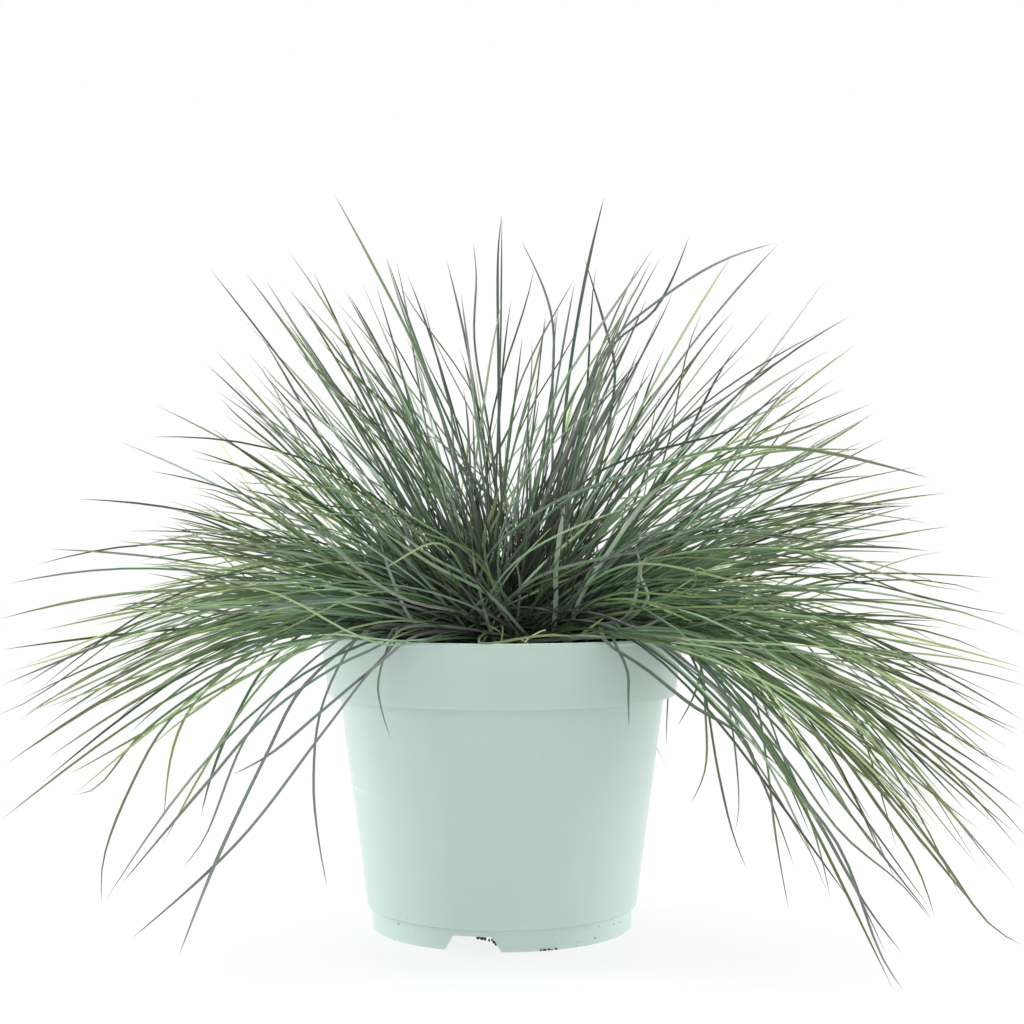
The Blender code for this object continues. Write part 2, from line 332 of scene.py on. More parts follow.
# %% [markdown]
# The pot is injection moulded in one shot of pale mint plastic. It has a foot ring, a straight
# tapered body, and a deep collar under a thin lip. A turned shape could be spun from an outline.
# Here it grows ring by ring instead, as one would by hand: a circle is extruded and scaled along
# the outline, down the foot, up the outside and down the inside, so each corner keeps its own
# softness. Each corner of the outline is (radius, height, softness), in metres.

# %% Pot outline
pot_low, pot_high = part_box("pot")
POT_HEIGHT = pot_high.z
RIM_RADIUS = pot_high.x
WALL = 0.0014
LIP_HEIGHT = 0.0022
LIP_PROUD = 0.0004
COLLAR_BOTTOM_Z = 0.1206
COLLAR_BOTTOM_RADIUS = 0.0905
BODY_TOP_RADIUS = 0.0845
BODY_BOTTOM_RADIUS = 0.0702
FOOT_HEIGHT = 0.0105
FOOT_RADIUS = 0.0676
FOOT_INSIDE = 0.0652
STEP_RISE = 0.0008
HEEL_Z = 0.0141
FLOOR_UNDERSIDE_Z = 0.0086
FLOOR_TOP_Z = 0.0102
POT_SIDES = 128
ARC_STEPS = 3


def line_radius(z, low, high):
    """Radius at a height on a straight wall between two (radius, z) ends."""
    share = (z - low[1]) / (high[1] - low[1])
    return low[0] + share * (high[0] - low[0])


BODY_LINE = ((BODY_BOTTOM_RADIUS, FOOT_HEIGHT), (BODY_TOP_RADIUS, COLLAR_BOTTOM_Z))
COLLAR_LINE = ((COLLAR_BOTTOM_RADIUS, COLLAR_BOTTOM_Z), (RIM_RADIUS - LIP_PROUD, POT_HEIGHT))


def body_radius(z):
    return line_radius(z, *BODY_LINE)


def collar_radius(z):
    return line_radius(z, *COLLAR_LINE)


def pot_corners():
    lip_z = POT_HEIGHT - LIP_HEIGHT
    inner_step_z = COLLAR_BOTTOM_Z + WALL
    return [
        (0.035, FLOOR_UNDERSIDE_Z, 0),
        (FOOT_INSIDE, FLOOR_UNDERSIDE_Z, 0.0008),
        (FOOT_INSIDE, 0.0, 0.0006),
        (FOOT_RADIUS, 0.0, 0.0006),
        (FOOT_RADIUS, FOOT_HEIGHT, 0.0004),
        (BODY_BOTTOM_RADIUS, FOOT_HEIGHT + STEP_RISE, 0.0009),
        (BODY_TOP_RADIUS, COLLAR_BOTTOM_Z, 0.0010),
        (COLLAR_BOTTOM_RADIUS, COLLAR_BOTTOM_Z, 0.0009),
        (collar_radius(lip_z), lip_z, 0.0003),
        (RIM_RADIUS, lip_z + LIP_PROUD, 0.00018),
        (RIM_RADIUS, POT_HEIGHT, 0.0006),
        (collar_radius(POT_HEIGHT) - WALL, POT_HEIGHT, 0.0006),
        (collar_radius(inner_step_z) - WALL, inner_step_z, 0.0010),
        (body_radius(inner_step_z) - WALL, inner_step_z, 0.0010),
        (body_radius(HEEL_Z) - WALL, HEEL_Z, 0.0010),
        (FOOT_INSIDE, FLOOR_TOP_Z, 0.0010),
        (0.035, FLOOR_TOP_Z, 0),
    ]


def soften(corners, steps=ARC_STEPS):
    """Swap each soft corner for a short arc that starts and ends its softness away from it."""
    points = [Vector(corners[0][:2])]
    for before, corner, after in zip(corners, corners[1:], corners[2:]):
        peak = Vector(corner[:2])
        start = peak + (Vector(before[:2]) - peak).normalized() * corner[2]
        end = peak + (Vector(after[:2]) - peak).normalized() * corner[2]
        for step in range(steps + 1):
            t = step / steps
            points.append((1 - t) ** 2 * start + 2 * t * (1 - t) * peak + t ** 2 * end)
    return points + [Vector(corners[-1][:2])]


outline = soften(pot_corners())
print("pot outline has", len(outline), "rings")

# %% Grow the pot ring by ring
def grow_turned(name, points, sides):
    """Extrude and scale a circle along an outline of (radius, z) points, and cap both ends."""
    deselect_all()
    radius, z = points[0]
    bpy.ops.mesh.primitive_circle_add(vertices=sides, radius=radius, location=(0, 0, z))
    piece = name_new(name)
    bpy.ops.object.mode_set(mode="EDIT")
    bpy.ops.mesh.select_all(action="SELECT")
    bpy.ops.mesh.edge_face_add()
    bpy.ops.mesh.extrude_region_move(TRANSFORM_OT_translate={"value": (0, 0, 0)})
    for before, point in zip(points, points[1:]):
        if before is not points[0]:
            bpy.ops.mesh.extrude_region_move(TRANSFORM_OT_translate={"value": (0, 0, 0)})
        bpy.ops.transform.translate(value=(0, 0, point[1] - before[1]))
        size = point[0] / before[0]
        bpy.ops.transform.resize(value=(size, size, 1), center_override=(0, 0, point[1]))
    bpy.ops.mesh.select_all(action="SELECT")
    bpy.ops.mesh.normals_make_consistent(inside=False)
    bpy.ops.object.mode_set(mode="OBJECT")
    return piece


pot_shell = grow_turned("pot_shell", outline, POT_SIDES)
print("pot shell before its openings:", len(pot_shell.data.polygons), "faces")

# %% [markdown]
# Three wedge-shaped notches in the foot let water out from under the pot, and behind each one a
# round hole goes through the floor. They are cut with Booleans: a block whose top is drawn in and
# whose upper edges are rounded, and a short cylinder.

# %% Cut the drain openings
NOTCH_COUNT = 3
FIRST_NOTCH_AZIMUTH = -102.2
NOTCH_BOTTOM_WIDTH = 0.030
NOTCH_TOP_WIDTH = 0.020
NOTCH_HEIGHT = 0.0075
NOTCH_CORNER = 0.0012
NOTCH_DEPTH = 0.012
DRAIN_HOLE_RADIUS = 0.0055
DRAIN_HOLE_RING = 0.0565
BELOW = 0.0010


def notch_cutter(azimuth):
    deselect_all()
    middle = (FOOT_INSIDE + FOOT_RADIUS) / 2
    height = NOTCH_HEIGHT + BELOW
    bpy.ops.mesh.primitive_cube_add(size=1, location=(middle, 0, height / 2 - BELOW))
    bpy.context.object.scale = (NOTCH_DEPTH, NOTCH_BOTTOM_WIDTH, height)
    cutter = name_new("notch_cutter")
    bpy.ops.object.mode_set(mode="EDIT")
    select_where(cutter, lambda place: place.z > 0)
    draw_in = NOTCH_TOP_WIDTH / NOTCH_BOTTOM_WIDTH
    bpy.ops.transform.resize(value=(1, draw_in, 1), center_override=(middle, 0, NOTCH_HEIGHT))
    mesh = bmesh.from_edit_mesh(cutter.data)
    bpy.ops.mesh.select_mode(type="EDGE")
    for edge in mesh.edges:
        first, second = (vertex.co for vertex in edge.verts)
        edge.select = min(first.z, second.z) > 0 and abs(first.y - second.y) < NOTCH_CORNER
    bmesh.update_edit_mesh(cutter.data)
    bpy.ops.mesh.bevel(offset=NOTCH_CORNER, segments=3)
    bpy.ops.object.mode_set(mode="OBJECT")
    cutter.rotation_euler.z = math.radians(azimuth)
    bpy.ops.object.transform_apply(rotation=True)
    return cutter


def hole_cutter(azimuth):
    deselect_all()
    angle = math.radians(azimuth)
    place = (DRAIN_HOLE_RING * math.cos(angle), DRAIN_HOLE_RING * math.sin(angle), FLOOR_TOP_Z)
    bpy.ops.mesh.primitive_cylinder_add(vertices=32, radius=DRAIN_HOLE_RADIUS, depth=0.008, location=place)
    return name_new("hole_cutter")


for index in range(NOTCH_COUNT):
    azimuth = FIRST_NOTCH_AZIMUTH + index * 360 / NOTCH_COUNT
    for cutter in (notch_cutter(azimuth), hole_cutter(azimuth)):
        apply_modifier(pot_shell, "BOOLEAN", operation="DIFFERENCE", object=cutter)
        bpy.data.objects.remove(cutter)
print("pot shell with", NOTCH_COUNT, "notches:", len(pot_shell.data.polygons), "faces")

# %% [markdown]
# Mint plastic: a soft satin with a faint cloudiness from the moulding, light vertical flow marks,
# a few hair scratches that run round the body, and a breath of soil dust near the foot. The gloss
# is uneven, so its roughness follows the same clouds.

# %% Plastic of the pot
PLASTIC_COLOUR = (0.500, 0.625, 0.580)
PLASTIC_DEEPER = (0.475, 0.600, 0.556)
DUST_COLOUR = (0.120, 0.085, 0.060)


def plastic_material():
    material, tree, shader = new_material("pale_mint_plastic")
    place = object_place(tree)
    height = add_node(tree, "ShaderNodeSeparateXYZ", {"Vector": place}).outputs["Z"]
    clouds = noise(tree, place, 14.0, 4.0)
    streaks = noise(tree, object_place(tree, (60, 60, 4)), 1.0, 4.0)
    drift = maths(tree, "ADD", maths(tree, "MULTIPLY", clouds, 0.6), maths(tree, "MULTIPLY", streaks, 0.4))
    tint = ramp(tree, drift, ((0.38, PLASTIC_DEEPER), (0.62, PLASTIC_COLOUR)))
    scratch_lines = noise(tree, object_place(tree, (5, 5, 900)), 1.0, 2.0)
    patches = noise(tree, object_place(tree, (9, 9, 22)), 1.0, 2.0)
    scratched = maths(tree, "MULTIPLY", between(tree, scratch_lines, 0.66, 0.72), between(tree, patches, 0.5, 0.62))
    scuffed = mix_colours(tree, maths(tree, "MULTIPLY", scratched, 0.5), tint, (0.72, 0.80, 0.77))
    grains = between(tree, noise(tree, place, 520.0, 2.0), 0.68, 0.76)
    low_down = between(tree, height, 0.022, 0.0)
    dust = maths(tree, "MULTIPLY", grains, low_down)
    dusty = mix_colours(tree, maths(tree, "MULTIPLY", dust, 0.8), scuffed, DUST_COLOUR)
    tree.links.new(dusty, shader.inputs["Base Color"])
    gloss = maths(tree, "ADD", maths(tree, "MULTIPLY", clouds, 0.22), 0.27)
    tree.links.new(maths(tree, "ADD", gloss, maths(tree, "MULTIPLY", dust, 0.3)), shader.inputs["Roughness"])
    shader.inputs["Subsurface Weight"].default_value = 0.18
    shader.inputs["Subsurface Radius"].default_value = (0.004, 0.005, 0.0045)
    shader.inputs["Subsurface Scale"].default_value = 1.0
    skin = maths(tree, "ADD", noise(tree, place, 900.0, 2.0), maths(tree, "MULTIPLY", scratched, -1.5))
    bump(tree, shader, skin, 0.00005, 0.35)
    return material


pot_shell.data.materials.append(plastic_material())
finish_piece(pot_shell, "pot_plastic", "pot", smooth_angle=30)
print("pot shell finished at", tuple(round(side, 4) for side in pot_shell.dimensions))

# %% [markdown]
# Potting soil fills the pot to just under the collar's lip. It is a turned block like the pot's
# inside, with a lumpy top. A Displace modifier with a cloud texture does the lumps, held to the
# top by a vertex group, and crumbs of bark and peat are then scattered over it. A crumb is an
# ico sphere knocked out of shape once and copied at many sizes and turns.

# %% Soil bed
GAP = 0.0003
SOIL_Z = 0.1415
SOIL_LUMPS = 0.0030
SOIL_SIDES = 72
SOIL_RINGS = 14
CROWN_RADIUS = 0.047


def soil_points():
    inner = WALL + 2 * GAP
    step_z = COLLAR_BOTTOM_Z + WALL + GAP
    top = collar_radius(SOIL_Z) - inner
    points = [
        (0.02, FLOOR_TOP_Z + GAP),
        (FOOT_INSIDE - 2 * GAP, FLOOR_TOP_Z + GAP),
        (body_radius(HEEL_Z) - inner, HEEL_Z + GAP),
        (body_radius(step_z) - inner, step_z),
        (collar_radius(step_z) - inner, step_z),
    ]
    return points + [(top * (1 - ring / SOIL_RINGS), SOIL_Z) for ring in range(SOIL_RINGS)]


def lump_top(piece):
    group = piece.vertex_groups.new(name="top")
    edge = collar_radius(SOIL_Z) - 2 * WALL
    top = [v.index for v in piece.data.vertices if v.co.z > SOIL_Z - GAP and v.co.xy.length < edge]
    group.add(top, 1.0, "REPLACE")
    clods = bpy.data.textures.new("clods", "CLOUDS")
    clods.noise_scale = 0.009
    clods.noise_depth = 3
    settings = {"texture": clods, "texture_coords": "LOCAL", "direction": "Z", "vertex_group": "top"}
    apply_modifier(piece, "DISPLACE", strength=2 * SOIL_LUMPS, mid_level=0.62, **settings)
    bpy.data.textures.remove(clods)


soil_bed = grow_turned("soil_bed", soil_points(), SOIL_SIDES)
lump_top(soil_bed)
print("soil bed:", len(soil_bed.data.polygons), "faces")

# %% A crumb, and many copies of it
def model_crumb(name, seed):
    deselect_all()
    bpy.ops.mesh.primitive_ico_sphere_add(subdivisions=2, radius=0.5)
    crumb = name_new(name)
    bpy.ops.object.mode_set(mode="EDIT")
    bpy.ops.transform.vertex_random(offset=0.16, seed=seed)
    bpy.ops.transform.resize(value=(1.0, 0.74, 0.52), center_override=(0, 0, 0))
    bpy.ops.object.mode_set(mode="OBJECT")
    return crumb


def mesh_arrays(item):
    """Vertices and faces of a small master, ready to be copied; the master is then removed."""
    points = np.array([vertex.co for vertex in item.data.vertices])
    faces = [tuple(face.vertices) for face in item.data.polygons]
    bpy.data.objects.remove(item)
    return points, faces


def join_copies(name, copies):
    """One mesh out of many (points, faces) copies."""
    points = []
    faces = []
    count = 0
    for copy_points, copy_faces in copies:
        points.append(copy_points)
        faces += [tuple(corner + count for corner in face) for face in copy_faces]
        count += len(copy_points)
    mesh = bpy.data.meshes.new(name)
    mesh.from_pydata(np.vstack(points).tolist(), [], faces)
    item = bpy.data.objects.new(name, mesh)
    bpy.context.scene.collection.objects.link(item)
    return item


def turned_any_way(rng):
    """A random turn, as a matrix that numpy can use."""
    axis = Vector((rng.gauss(0, 1), rng.gauss(0, 1), rng.gauss(0, 1))).normalized()
    from_axis = axis.to_track_quat("Z", "Y")
    return np.array(from_axis.to_matrix())


CRUMB_SEEDS = (3, 8, 21)
crumb_masters = [mesh_arrays(model_crumb(f"crumb_{seed}", seed)) for seed in CRUMB_SEEDS]


def copy_crumb(rng, place, size):
    points, faces = rng.choice(crumb_masters)
    return (points * size) @ turned_any_way(rng).T + np.array(place), faces


def scattered_crumbs(count):
    rng = random.Random(5)
    crumbs = []
    outer = collar_radius(SOIL_Z) - WALL - 0.003
    for _ in range(count):
        radius = math.sqrt(rng.uniform((CROWN_RADIUS - 0.004) ** 2, outer ** 2))
        angle = rng.uniform(0, math.tau)
        size = 0.0016 + 0.0042 * rng.random() ** 2.5
        place = (radius * math.cos(angle), radius * math.sin(angle), SOIL_Z + rng.uniform(0, 0.0012))
        crumbs.append(copy_crumb(rng, place, size))
    return crumbs


CRUMB_COUNT = 420
crumbs = join_copies("crumbs", scattered_crumbs(CRUMB_COUNT))
pick(soil_bed)
crumbs.select_set(True)
bpy.ops.object.join()
print("soil bed with crumbs:", len(soil_bed.data.polygons), "faces")

# %% [markdown]
# Soil: almost black where it is damp, browner on the dry crumbs, with pale flecks of bark fibre.
# It scatters light in all directions, so its roughness is close to one.

# %% Soil material
def soil_material():
    material, tree, shader = new_material("damp_potting_soil")
    place = object_place(tree)
    coarse = noise(tree, place, 160.0, 5.0, 0.65)
    fine = noise(tree, place, 900.0, 3.0)
    dark = ramp(tree, coarse, ((0.32, (0.010, 0.007, 0.006)), (0.55, (0.040, 0.027, 0.019)), (0.75, (0.105, 0.070, 0.046))))
    flecks = between(tree, fine, 0.68, 0.76)
    fleck_colour = mix_colours(tree, maths(tree, "MULTIPLY", flecks, 0.6), dark, (0.240, 0.170, 0.110))
    tree.links.new(fleck_colour, shader.inputs["Base Color"])
    shader.inputs["Roughness"].default_value = 0.94
    bump(tree, shader, maths(tree, "ADD", coarse, maths(tree, "MULTIPLY", fine, 0.4)), 0.0008, 0.8)
    return material


damp_soil = soil_material()
soil_bed.data.materials.clear()
soil_bed.data.materials.append(damp_soil)
finish_piece(soil_bed, "potting_soil", "potting_soil", smooth_angle=50)

# %% [markdown]
# A little soil has washed out at the foot: a plug in the corner of the front notch, a smear where
# the foot meets the floor, and some specks on the wall. Each one sits where the camera's line of
# sight through its pixel meets the pot, so it lies on the plastic from every side.

# %% Specks at the foot
NOTCH_SOIL = [(478, 939), (482, 939), (485, 940), (489, 941), (492, 941), (494, 943), (496, 945)]
FLOOR_SMEAR = [(541, 953), (544, 954), (546, 953), (549, 953), (552, 952), (556, 951)]
WALL_SPECKS = [(394, 943), (599, 926), (614, 924), (620, 922), (595, 938), (578, 942), (631, 928), (399, 924)]


def on_pot_wall(pixel):
    """First place where the line of sight through a pixel meets the pot's foot or body."""
    depth = -FOOT_RADIUS
    for _ in range(12):
        place = seen_at(pixel, depth)
        wall = FOOT_RADIUS if place.z < FOOT_HEIGHT else body_radius(place.z)
        depth = -math.sqrt(max(wall ** 2 - place.x ** 2, 0.0001))
    return seen_at(pixel, depth)


def foot_specks():
    rng = random.Random(17)
    places = []
    for pixel in NOTCH_SOIL:
        inside = on_pot_wall(pixel)
        places += [(inside + Vector((0, 0.0012 + 0.002 * step, 0)), rng.uniform(0.0013, 0.0022)) for step in range(2)]
    for pixel in FLOOR_SMEAR:
        wall = on_pot_wall(pixel)
        size = rng.uniform(0.0009, 0.0017)
        places.append((Vector((wall.x, wall.y, size * 0.4)), size))
    places += [(on_pot_wall(pixel), rng.uniform(0.0006, 0.0010)) for pixel in WALL_SPECKS]
    copies = []
    for place, size in places:
        points, faces = copy_crumb(rng, place, size)
        points[:, 2] = np.maximum(points[:, 2], 0.0001)
        copies.append((points, faces))
    return copies


soil_specks = join_copies("soil_specks", foot_specks())
soil_specks.data.materials.append(damp_soil)
finish_piece(soil_specks, "potting_soil", smooth_angle=50)
print("soil specks:", len(soil_specks.data.polygons), "faces")

# %% [markdown]
# The facts of each tuft repeat the rule that the solid model follows, so that a fan of fine
# leaves grows out of the same spot, in the same direction, as the tuft that it stands for.
# Five rings of tufts lean further out from the heart to the skirt, and the clump parts at the
# front. The same seed and the same order of draws give the same tufts.

# %% Tuft layout
Ring = namedtuple("Ring", "name tufts radius lean droop length clear_share blades tone")
RINGS = (
    Ring("heart", 5, 0.0100, 10.0, 18.0, 0.222, 0.04, 14, 0.14),
    Ring("inner", 9, 0.0200, 27.0, 25.0, 0.234, 0.10, 15, 0.24),
    Ring("middle", 12, 0.0290, 45.0, 32.0, 0.240, 0.15, 17, 0.42),
    Ring("outer", 14, 0.0370, 60.0, 46.0, 0.250, 0.18, 31, 0.56),
    Ring("skirt", 14, 0.0440, 69.0, 86.0, 0.330, 0.20, 34, 0.60),
)
FRONT = -90.0
REACH_RADIUS = 0.286
REACH_FRONT_BACK = 0.238
RIGHT_SIDE_EXTRA_DROOP = 0.16
ROOT_AZIMUTH_SPREAD = 3.0
LEAN_SPREAD = 2.0
DROOP_SHARES = (0.94, 1.06)
LENGTH_SHARES = (0.93, 1.04)
SIDE_LEAF_SHARES = (0.62, 0.86)
SIDE_LEAVES = 4
LAYOUT_SEED = 11
CROWN_EDGE_Z = SOIL_Z + GAP + 0.0045
CROWN_RISE = 0.0150


def crown_z(radius):
    return CROWN_EDGE_Z + CROWN_RISE * (1 - (radius / CROWN_RADIUS) ** 2)


def off_front(azimuth):
    return (azimuth - FRONT + 180) % 360 - 180


def steer(azimuth, clear_share):
    off = off_front(azimuth)
    aside = 180 * clear_share + (1 - clear_share) * abs(off)
    return FRONT + math.copysign(aside, off)


def reach(azimuth):
    across = abs(math.sin(math.radians(azimuth)))
    return min(REACH_RADIUS, REACH_FRONT_BACK / max(across, 0.00001))


def tuft_layout():
    rng = random.Random(LAYOUT_SEED)
    rows = []
    for order, ring in enumerate(RINGS):
        half_step = 0.5 * (order % 2)
        for index in range(ring.tufts):
            even_azimuth = 360 * (index + half_step) / ring.tufts
            root_azimuth = even_azimuth + rng.uniform(-ROOT_AZIMUTH_SPREAD, ROOT_AZIMUTH_SPREAD)
            azimuth = steer(root_azimuth, ring.clear_share)
            side = 1 + RIGHT_SIDE_EXTRA_DROOP * math.cos(math.radians(azimuth))
            rows.append({
                "number": f"{ring.name}_{index + 1:02d}",
                "ring": ring,
                "root_azimuth": root_azimuth,
                "azimuth": azimuth,
                "lean": ring.lean + rng.uniform(-LEAN_SPREAD, LEAN_SPREAD),
                "droop": ring.droop * side * rng.uniform(*DROOP_SHARES),
                "length": ring.length * rng.uniform(*LENGTH_SHARES),
                "blades": [],
            })
            for _ in range(SIDE_LEAVES):
                rng.uniform(*SIDE_LEAF_SHARES)
    return rows


tufts = tuft_layout()
print(len(tufts), "tufts in", len(RINGS), "rings")

# %% [markdown]
# The crown is the low mound of living stem bases, wrapped in old brown sheaths. The mound is a
# turned dome. The sheaths are short curled scraps: one is modelled as a five-sided straw that
# tapers, and hundreds of copies stand on the dome, leaning out as the leaves do.

# %% Crown mound
DOME_RINGS = 9


def dome_points():
    bottom = SOIL_Z + GAP
    dome = [CROWN_RADIUS * (1 - ring / DOME_RINGS) for ring in range(DOME_RINGS)]
    return [(0.02, bottom), (CROWN_RADIUS, bottom)] + [(radius, crown_z(radius)) for radius in dome]


crown_mound = grow_turned("crown_mound", dome_points(), 64)


def model_sheath():
    """A straw one unit long: a pentagon drawn out, thinned and pinched at its torn end."""
    deselect_all()
    bpy.ops.mesh.primitive_circle_add(vertices=5, radius=0.5, fill_type="NGON")
    straw = name_new("sheath")
    bpy.ops.object.mode_set(mode="EDIT")
    bpy.ops.mesh.select_all(action="SELECT")
    for rise, size in ((0.25, 0.95), (0.35, 0.86), (0.25, 0.70), (0.15, 0.35)):
        bpy.ops.mesh.extrude_region_move(TRANSFORM_OT_translate={"value": (0, 0, rise)})
        bpy.ops.transform.resize(value=(size, size * 0.93, 1))
    bpy.ops.mesh.select_all(action="SELECT")
    bpy.ops.mesh.normals_make_consistent(inside=False)
    bpy.ops.object.mode_set(mode="OBJECT")
    return straw


sheath_master = mesh_arrays(model_sheath())
print("one sheath has", len(sheath_master[1]), "faces")

# %% Stand the sheaths on the mound
SHEATH_COUNT = 460


def direction(azimuth, lean):
    angle = math.radians(azimuth)
    tilt = math.radians(lean)
    return Vector((math.sin(tilt) * math.cos(angle), math.sin(tilt) * math.sin(angle), math.cos(tilt)))


def ring_lean(radius):
    """Lean of the leaves at a distance from the axis, read between the rings."""
    return float(np.interp(radius, [ring.radius for ring in RINGS], [ring.lean for ring in RINGS]))


def stand_sheath(rng):
    points, faces = sheath_master
    radius = CROWN_RADIUS * math.sqrt(rng.random()) * 0.98
    azimuth = rng.uniform(0, 360)
    angle = math.radians(azimuth)
    lean = ring_lean(radius) + rng.gauss(0, 16)
    heading = direction(azimuth + rng.gauss(0, 24), lean)
    width = rng.uniform(0.0014, 0.0028)
    length = rng.uniform(0.005, 0.013)
    frame_turn = np.array(heading.to_track_quat("Z", "Y").to_matrix())
    sized = points * np.array([width, width * rng.uniform(0.5, 0.9), length])
    curl = rng.uniform(-0.25, 0.25) * length
    sized[:, 0] += curl * points[:, 2] ** 2
    base = np.array([radius * math.cos(angle), radius * math.sin(angle), crown_z(radius) - 0.0012])
    return sized @ frame_turn.T + base, faces


def stamp_copies(item, name, values, per_copy):
    """Give each copy in a joined mesh a number of its own, for its material to read."""
    attribute = item.data.attributes.new(name, "FLOAT", "POINT")
    attribute.data.foreach_set("value", np.repeat(np.array(values, np.float32), per_copy))


rng = random.Random(29)
sheaths = join_copies("sheaths", [stand_sheath(rng) for _ in range(SHEATH_COUNT)])
stamp_copies(sheaths, "copy_share", [rng.random() for _ in range(SHEATH_COUNT)], len(sheath_master[0]))
pick(crown_mound)
sheaths.select_set(True)
bpy.ops.object.join()
print("crown mound:", len(crown_mound.data.polygons), "faces")

# %% [markdown]
# Old sheaths are a damp dark brown, a few with a red or tan cast. Each copy carries a random
# share that picks its colour, and fine stripes follow the height.

# %% Sheath material
def sheath_material():
    material, tree, shader = new_material("dry_brown_sheaths")
    place = object_place(tree)
    share = add_node(tree, "ShaderNodeAttribute", attribute_name="copy_share").outputs["Fac"]
    stops = ((0.0, (0.018, 0.012, 0.010)), (0.55, (0.040, 0.026, 0.018)), (0.85, (0.080, 0.050, 0.034)),
             (1.0, (0.130, 0.090, 0.055)))
    straw = ramp(tree, share, stops)
    fibres = noise(tree, object_place(tree, (900, 900, 60)), 1.0, 3.0)
    striped = mix_colours(tree, between(tree, fibres, 0.35, 0.7), (0.014, 0.010, 0.008), straw)
    tree.links.new(striped, shader.inputs["Base Color"])
    shader.inputs["Roughness"].default_value = 0.82
    bump(tree, shader, maths(tree, "ADD", fibres, noise(tree, place, 700.0)), 0.0003, 0.6)
    return material


crown_mound.data.materials.clear()
crown_mound.data.materials.append(sheath_material())
finish_piece(crown_mound, "crown_sheath", "crown", smooth_angle=50)

# %% [markdown]
# A fescue leaf is a thin blade folded along its middle, one to two millimetres wide, with a keel
# below and a groove above, ending in a fine point. One straight leaf is modelled, one unit long
# and one unit wide: a diamond whose two side corners are lifted to the fold, drawn out in steps
# and narrowed at the tip. Its section has only four corners, because it is repeated well over a
# thousand times. A second one has more steps, for the few leaves that bend sharply.

# %% One leaf
LEAF_STEPS = 14
CURLY_STEPS = 30
EDGE_LIFT = 0.30
GROOVE_DROP = 0.52
KEEL_LIFT = 0.16
TAPER_START = 0.84
SHEATH_SHARE = 0.06
LeafMaster = namedtuple("LeafMaster", "points faces levels shares fold")


def leaf_width_share(share):
    """Width along the leaf: a little wider at the sheath, even, then drawn to a fine point."""
    if share < SHEATH_SHARE:
        return 1.15
    past = max(0.0, (share - TAPER_START) / (1 - TAPER_START))
    return 1 - 0.78 * past


def model_leaf(steps):
    deselect_all()
    bpy.ops.mesh.primitive_circle_add(vertices=4, radius=0.5, fill_type="NGON")
    leaf = name_new("leaf")
    bpy.ops.object.mode_set(mode="EDIT")
    for test, lift in (
        (lambda place: abs(place.x) > 0.4, EDGE_LIFT),
        (lambda place: place.y > 0.4, -GROOVE_DROP),
        (lambda place: place.y < -0.4, KEEL_LIFT),
    ):
        select_where(leaf, test)
        bpy.ops.transform.translate(value=(0, lift, 0))
    bpy.ops.mesh.select_all(action="SELECT")
    size = leaf_width_share(0)
    bpy.ops.transform.resize(value=(size, size, 1), center_override=(0, 0, 0))
    for step in range(1, steps + 1):
        share = step / steps
        bpy.ops.mesh.extrude_region_move(TRANSFORM_OT_translate={"value": (0, 0, 1 / steps)})
        ratio = leaf_width_share(share) / size
        size = leaf_width_share(share)
        bpy.ops.transform.resize(value=(ratio, ratio, 1), center_override=(0, 0, share))
    bpy.ops.mesh.merge(type="CENTER")
    bpy.ops.mesh.select_all(action="SELECT")
    bpy.ops.mesh.normals_make_consistent(inside=False)
    bpy.ops.object.mode_set(mode="OBJECT")
    return leaf


def leaf_master(steps):
    points, faces = mesh_arrays(model_leaf(steps))
    levels = np.clip(np.rint(points[:, 2] * steps).astype(int), 0, steps)
    middle = abs(points[:, 0]) < 0.1
    widths = np.array([leaf_width_share(share) for share in points[:, 2]])
    in_groove = middle & (points[:, 1] > -0.2 * widths)
    fold = in_groove * 1.0 - (middle & ~in_groove) * 1.0
    return LeafMaster(points, faces, levels, np.linspace(0, 1, steps + 1), fold)


leaf_masters = {steps: leaf_master(steps) for steps in (LEAF_STEPS, CURLY_STEPS)}
for steps, master in leaf_masters.items():
    print("a leaf of", steps, "steps has", len(master.points), "points and", len(master.faces), "faces")

# %% [markdown]
# Each copy follows a path of its own. A leaf sets out at its lean, bends over by its droop and
# may swing or ripple a little sideways. An upright leaf bends evenly. A low one bends most where
# it leaves the crown and then runs nearly straight, and a hanging one bends most at its thin end:
# the ease says which. Laying a copy on its path works as a Curve modifier does: every ring of the straight
# leaf moves to its step of the path, and is turned square to it, with a slight twist.

# %% Paths, and laying a leaf along one
STEP_MIDDLES = (np.arange(LEAF_STEPS) + 0.5) / LEAF_STEPS


def leaf_path(base, azimuth, lean, droop, length, swing=0.0, ease=1.0, waves=(0.0, 0.0)):
    """Points of one leaf. Ease 1 bends it evenly, more bends it early, less bends it late."""
    eased = 1 - (1 - STEP_MIDDLES) ** ease
    ripple = np.sin(2 * math.pi * STEP_MIDDLES)
    bent = np.radians(lean + droop * eased + waves[0] * ripple)
    turned = np.radians(azimuth + swing * STEP_MIDDLES + waves[1] * ripple)
    steps = np.stack([np.sin(bent) * np.cos(turned), np.sin(bent) * np.sin(turned), np.cos(bent)], 1)
    return np.vstack([base, base + np.cumsum(steps * length / LEAF_STEPS, 0)])


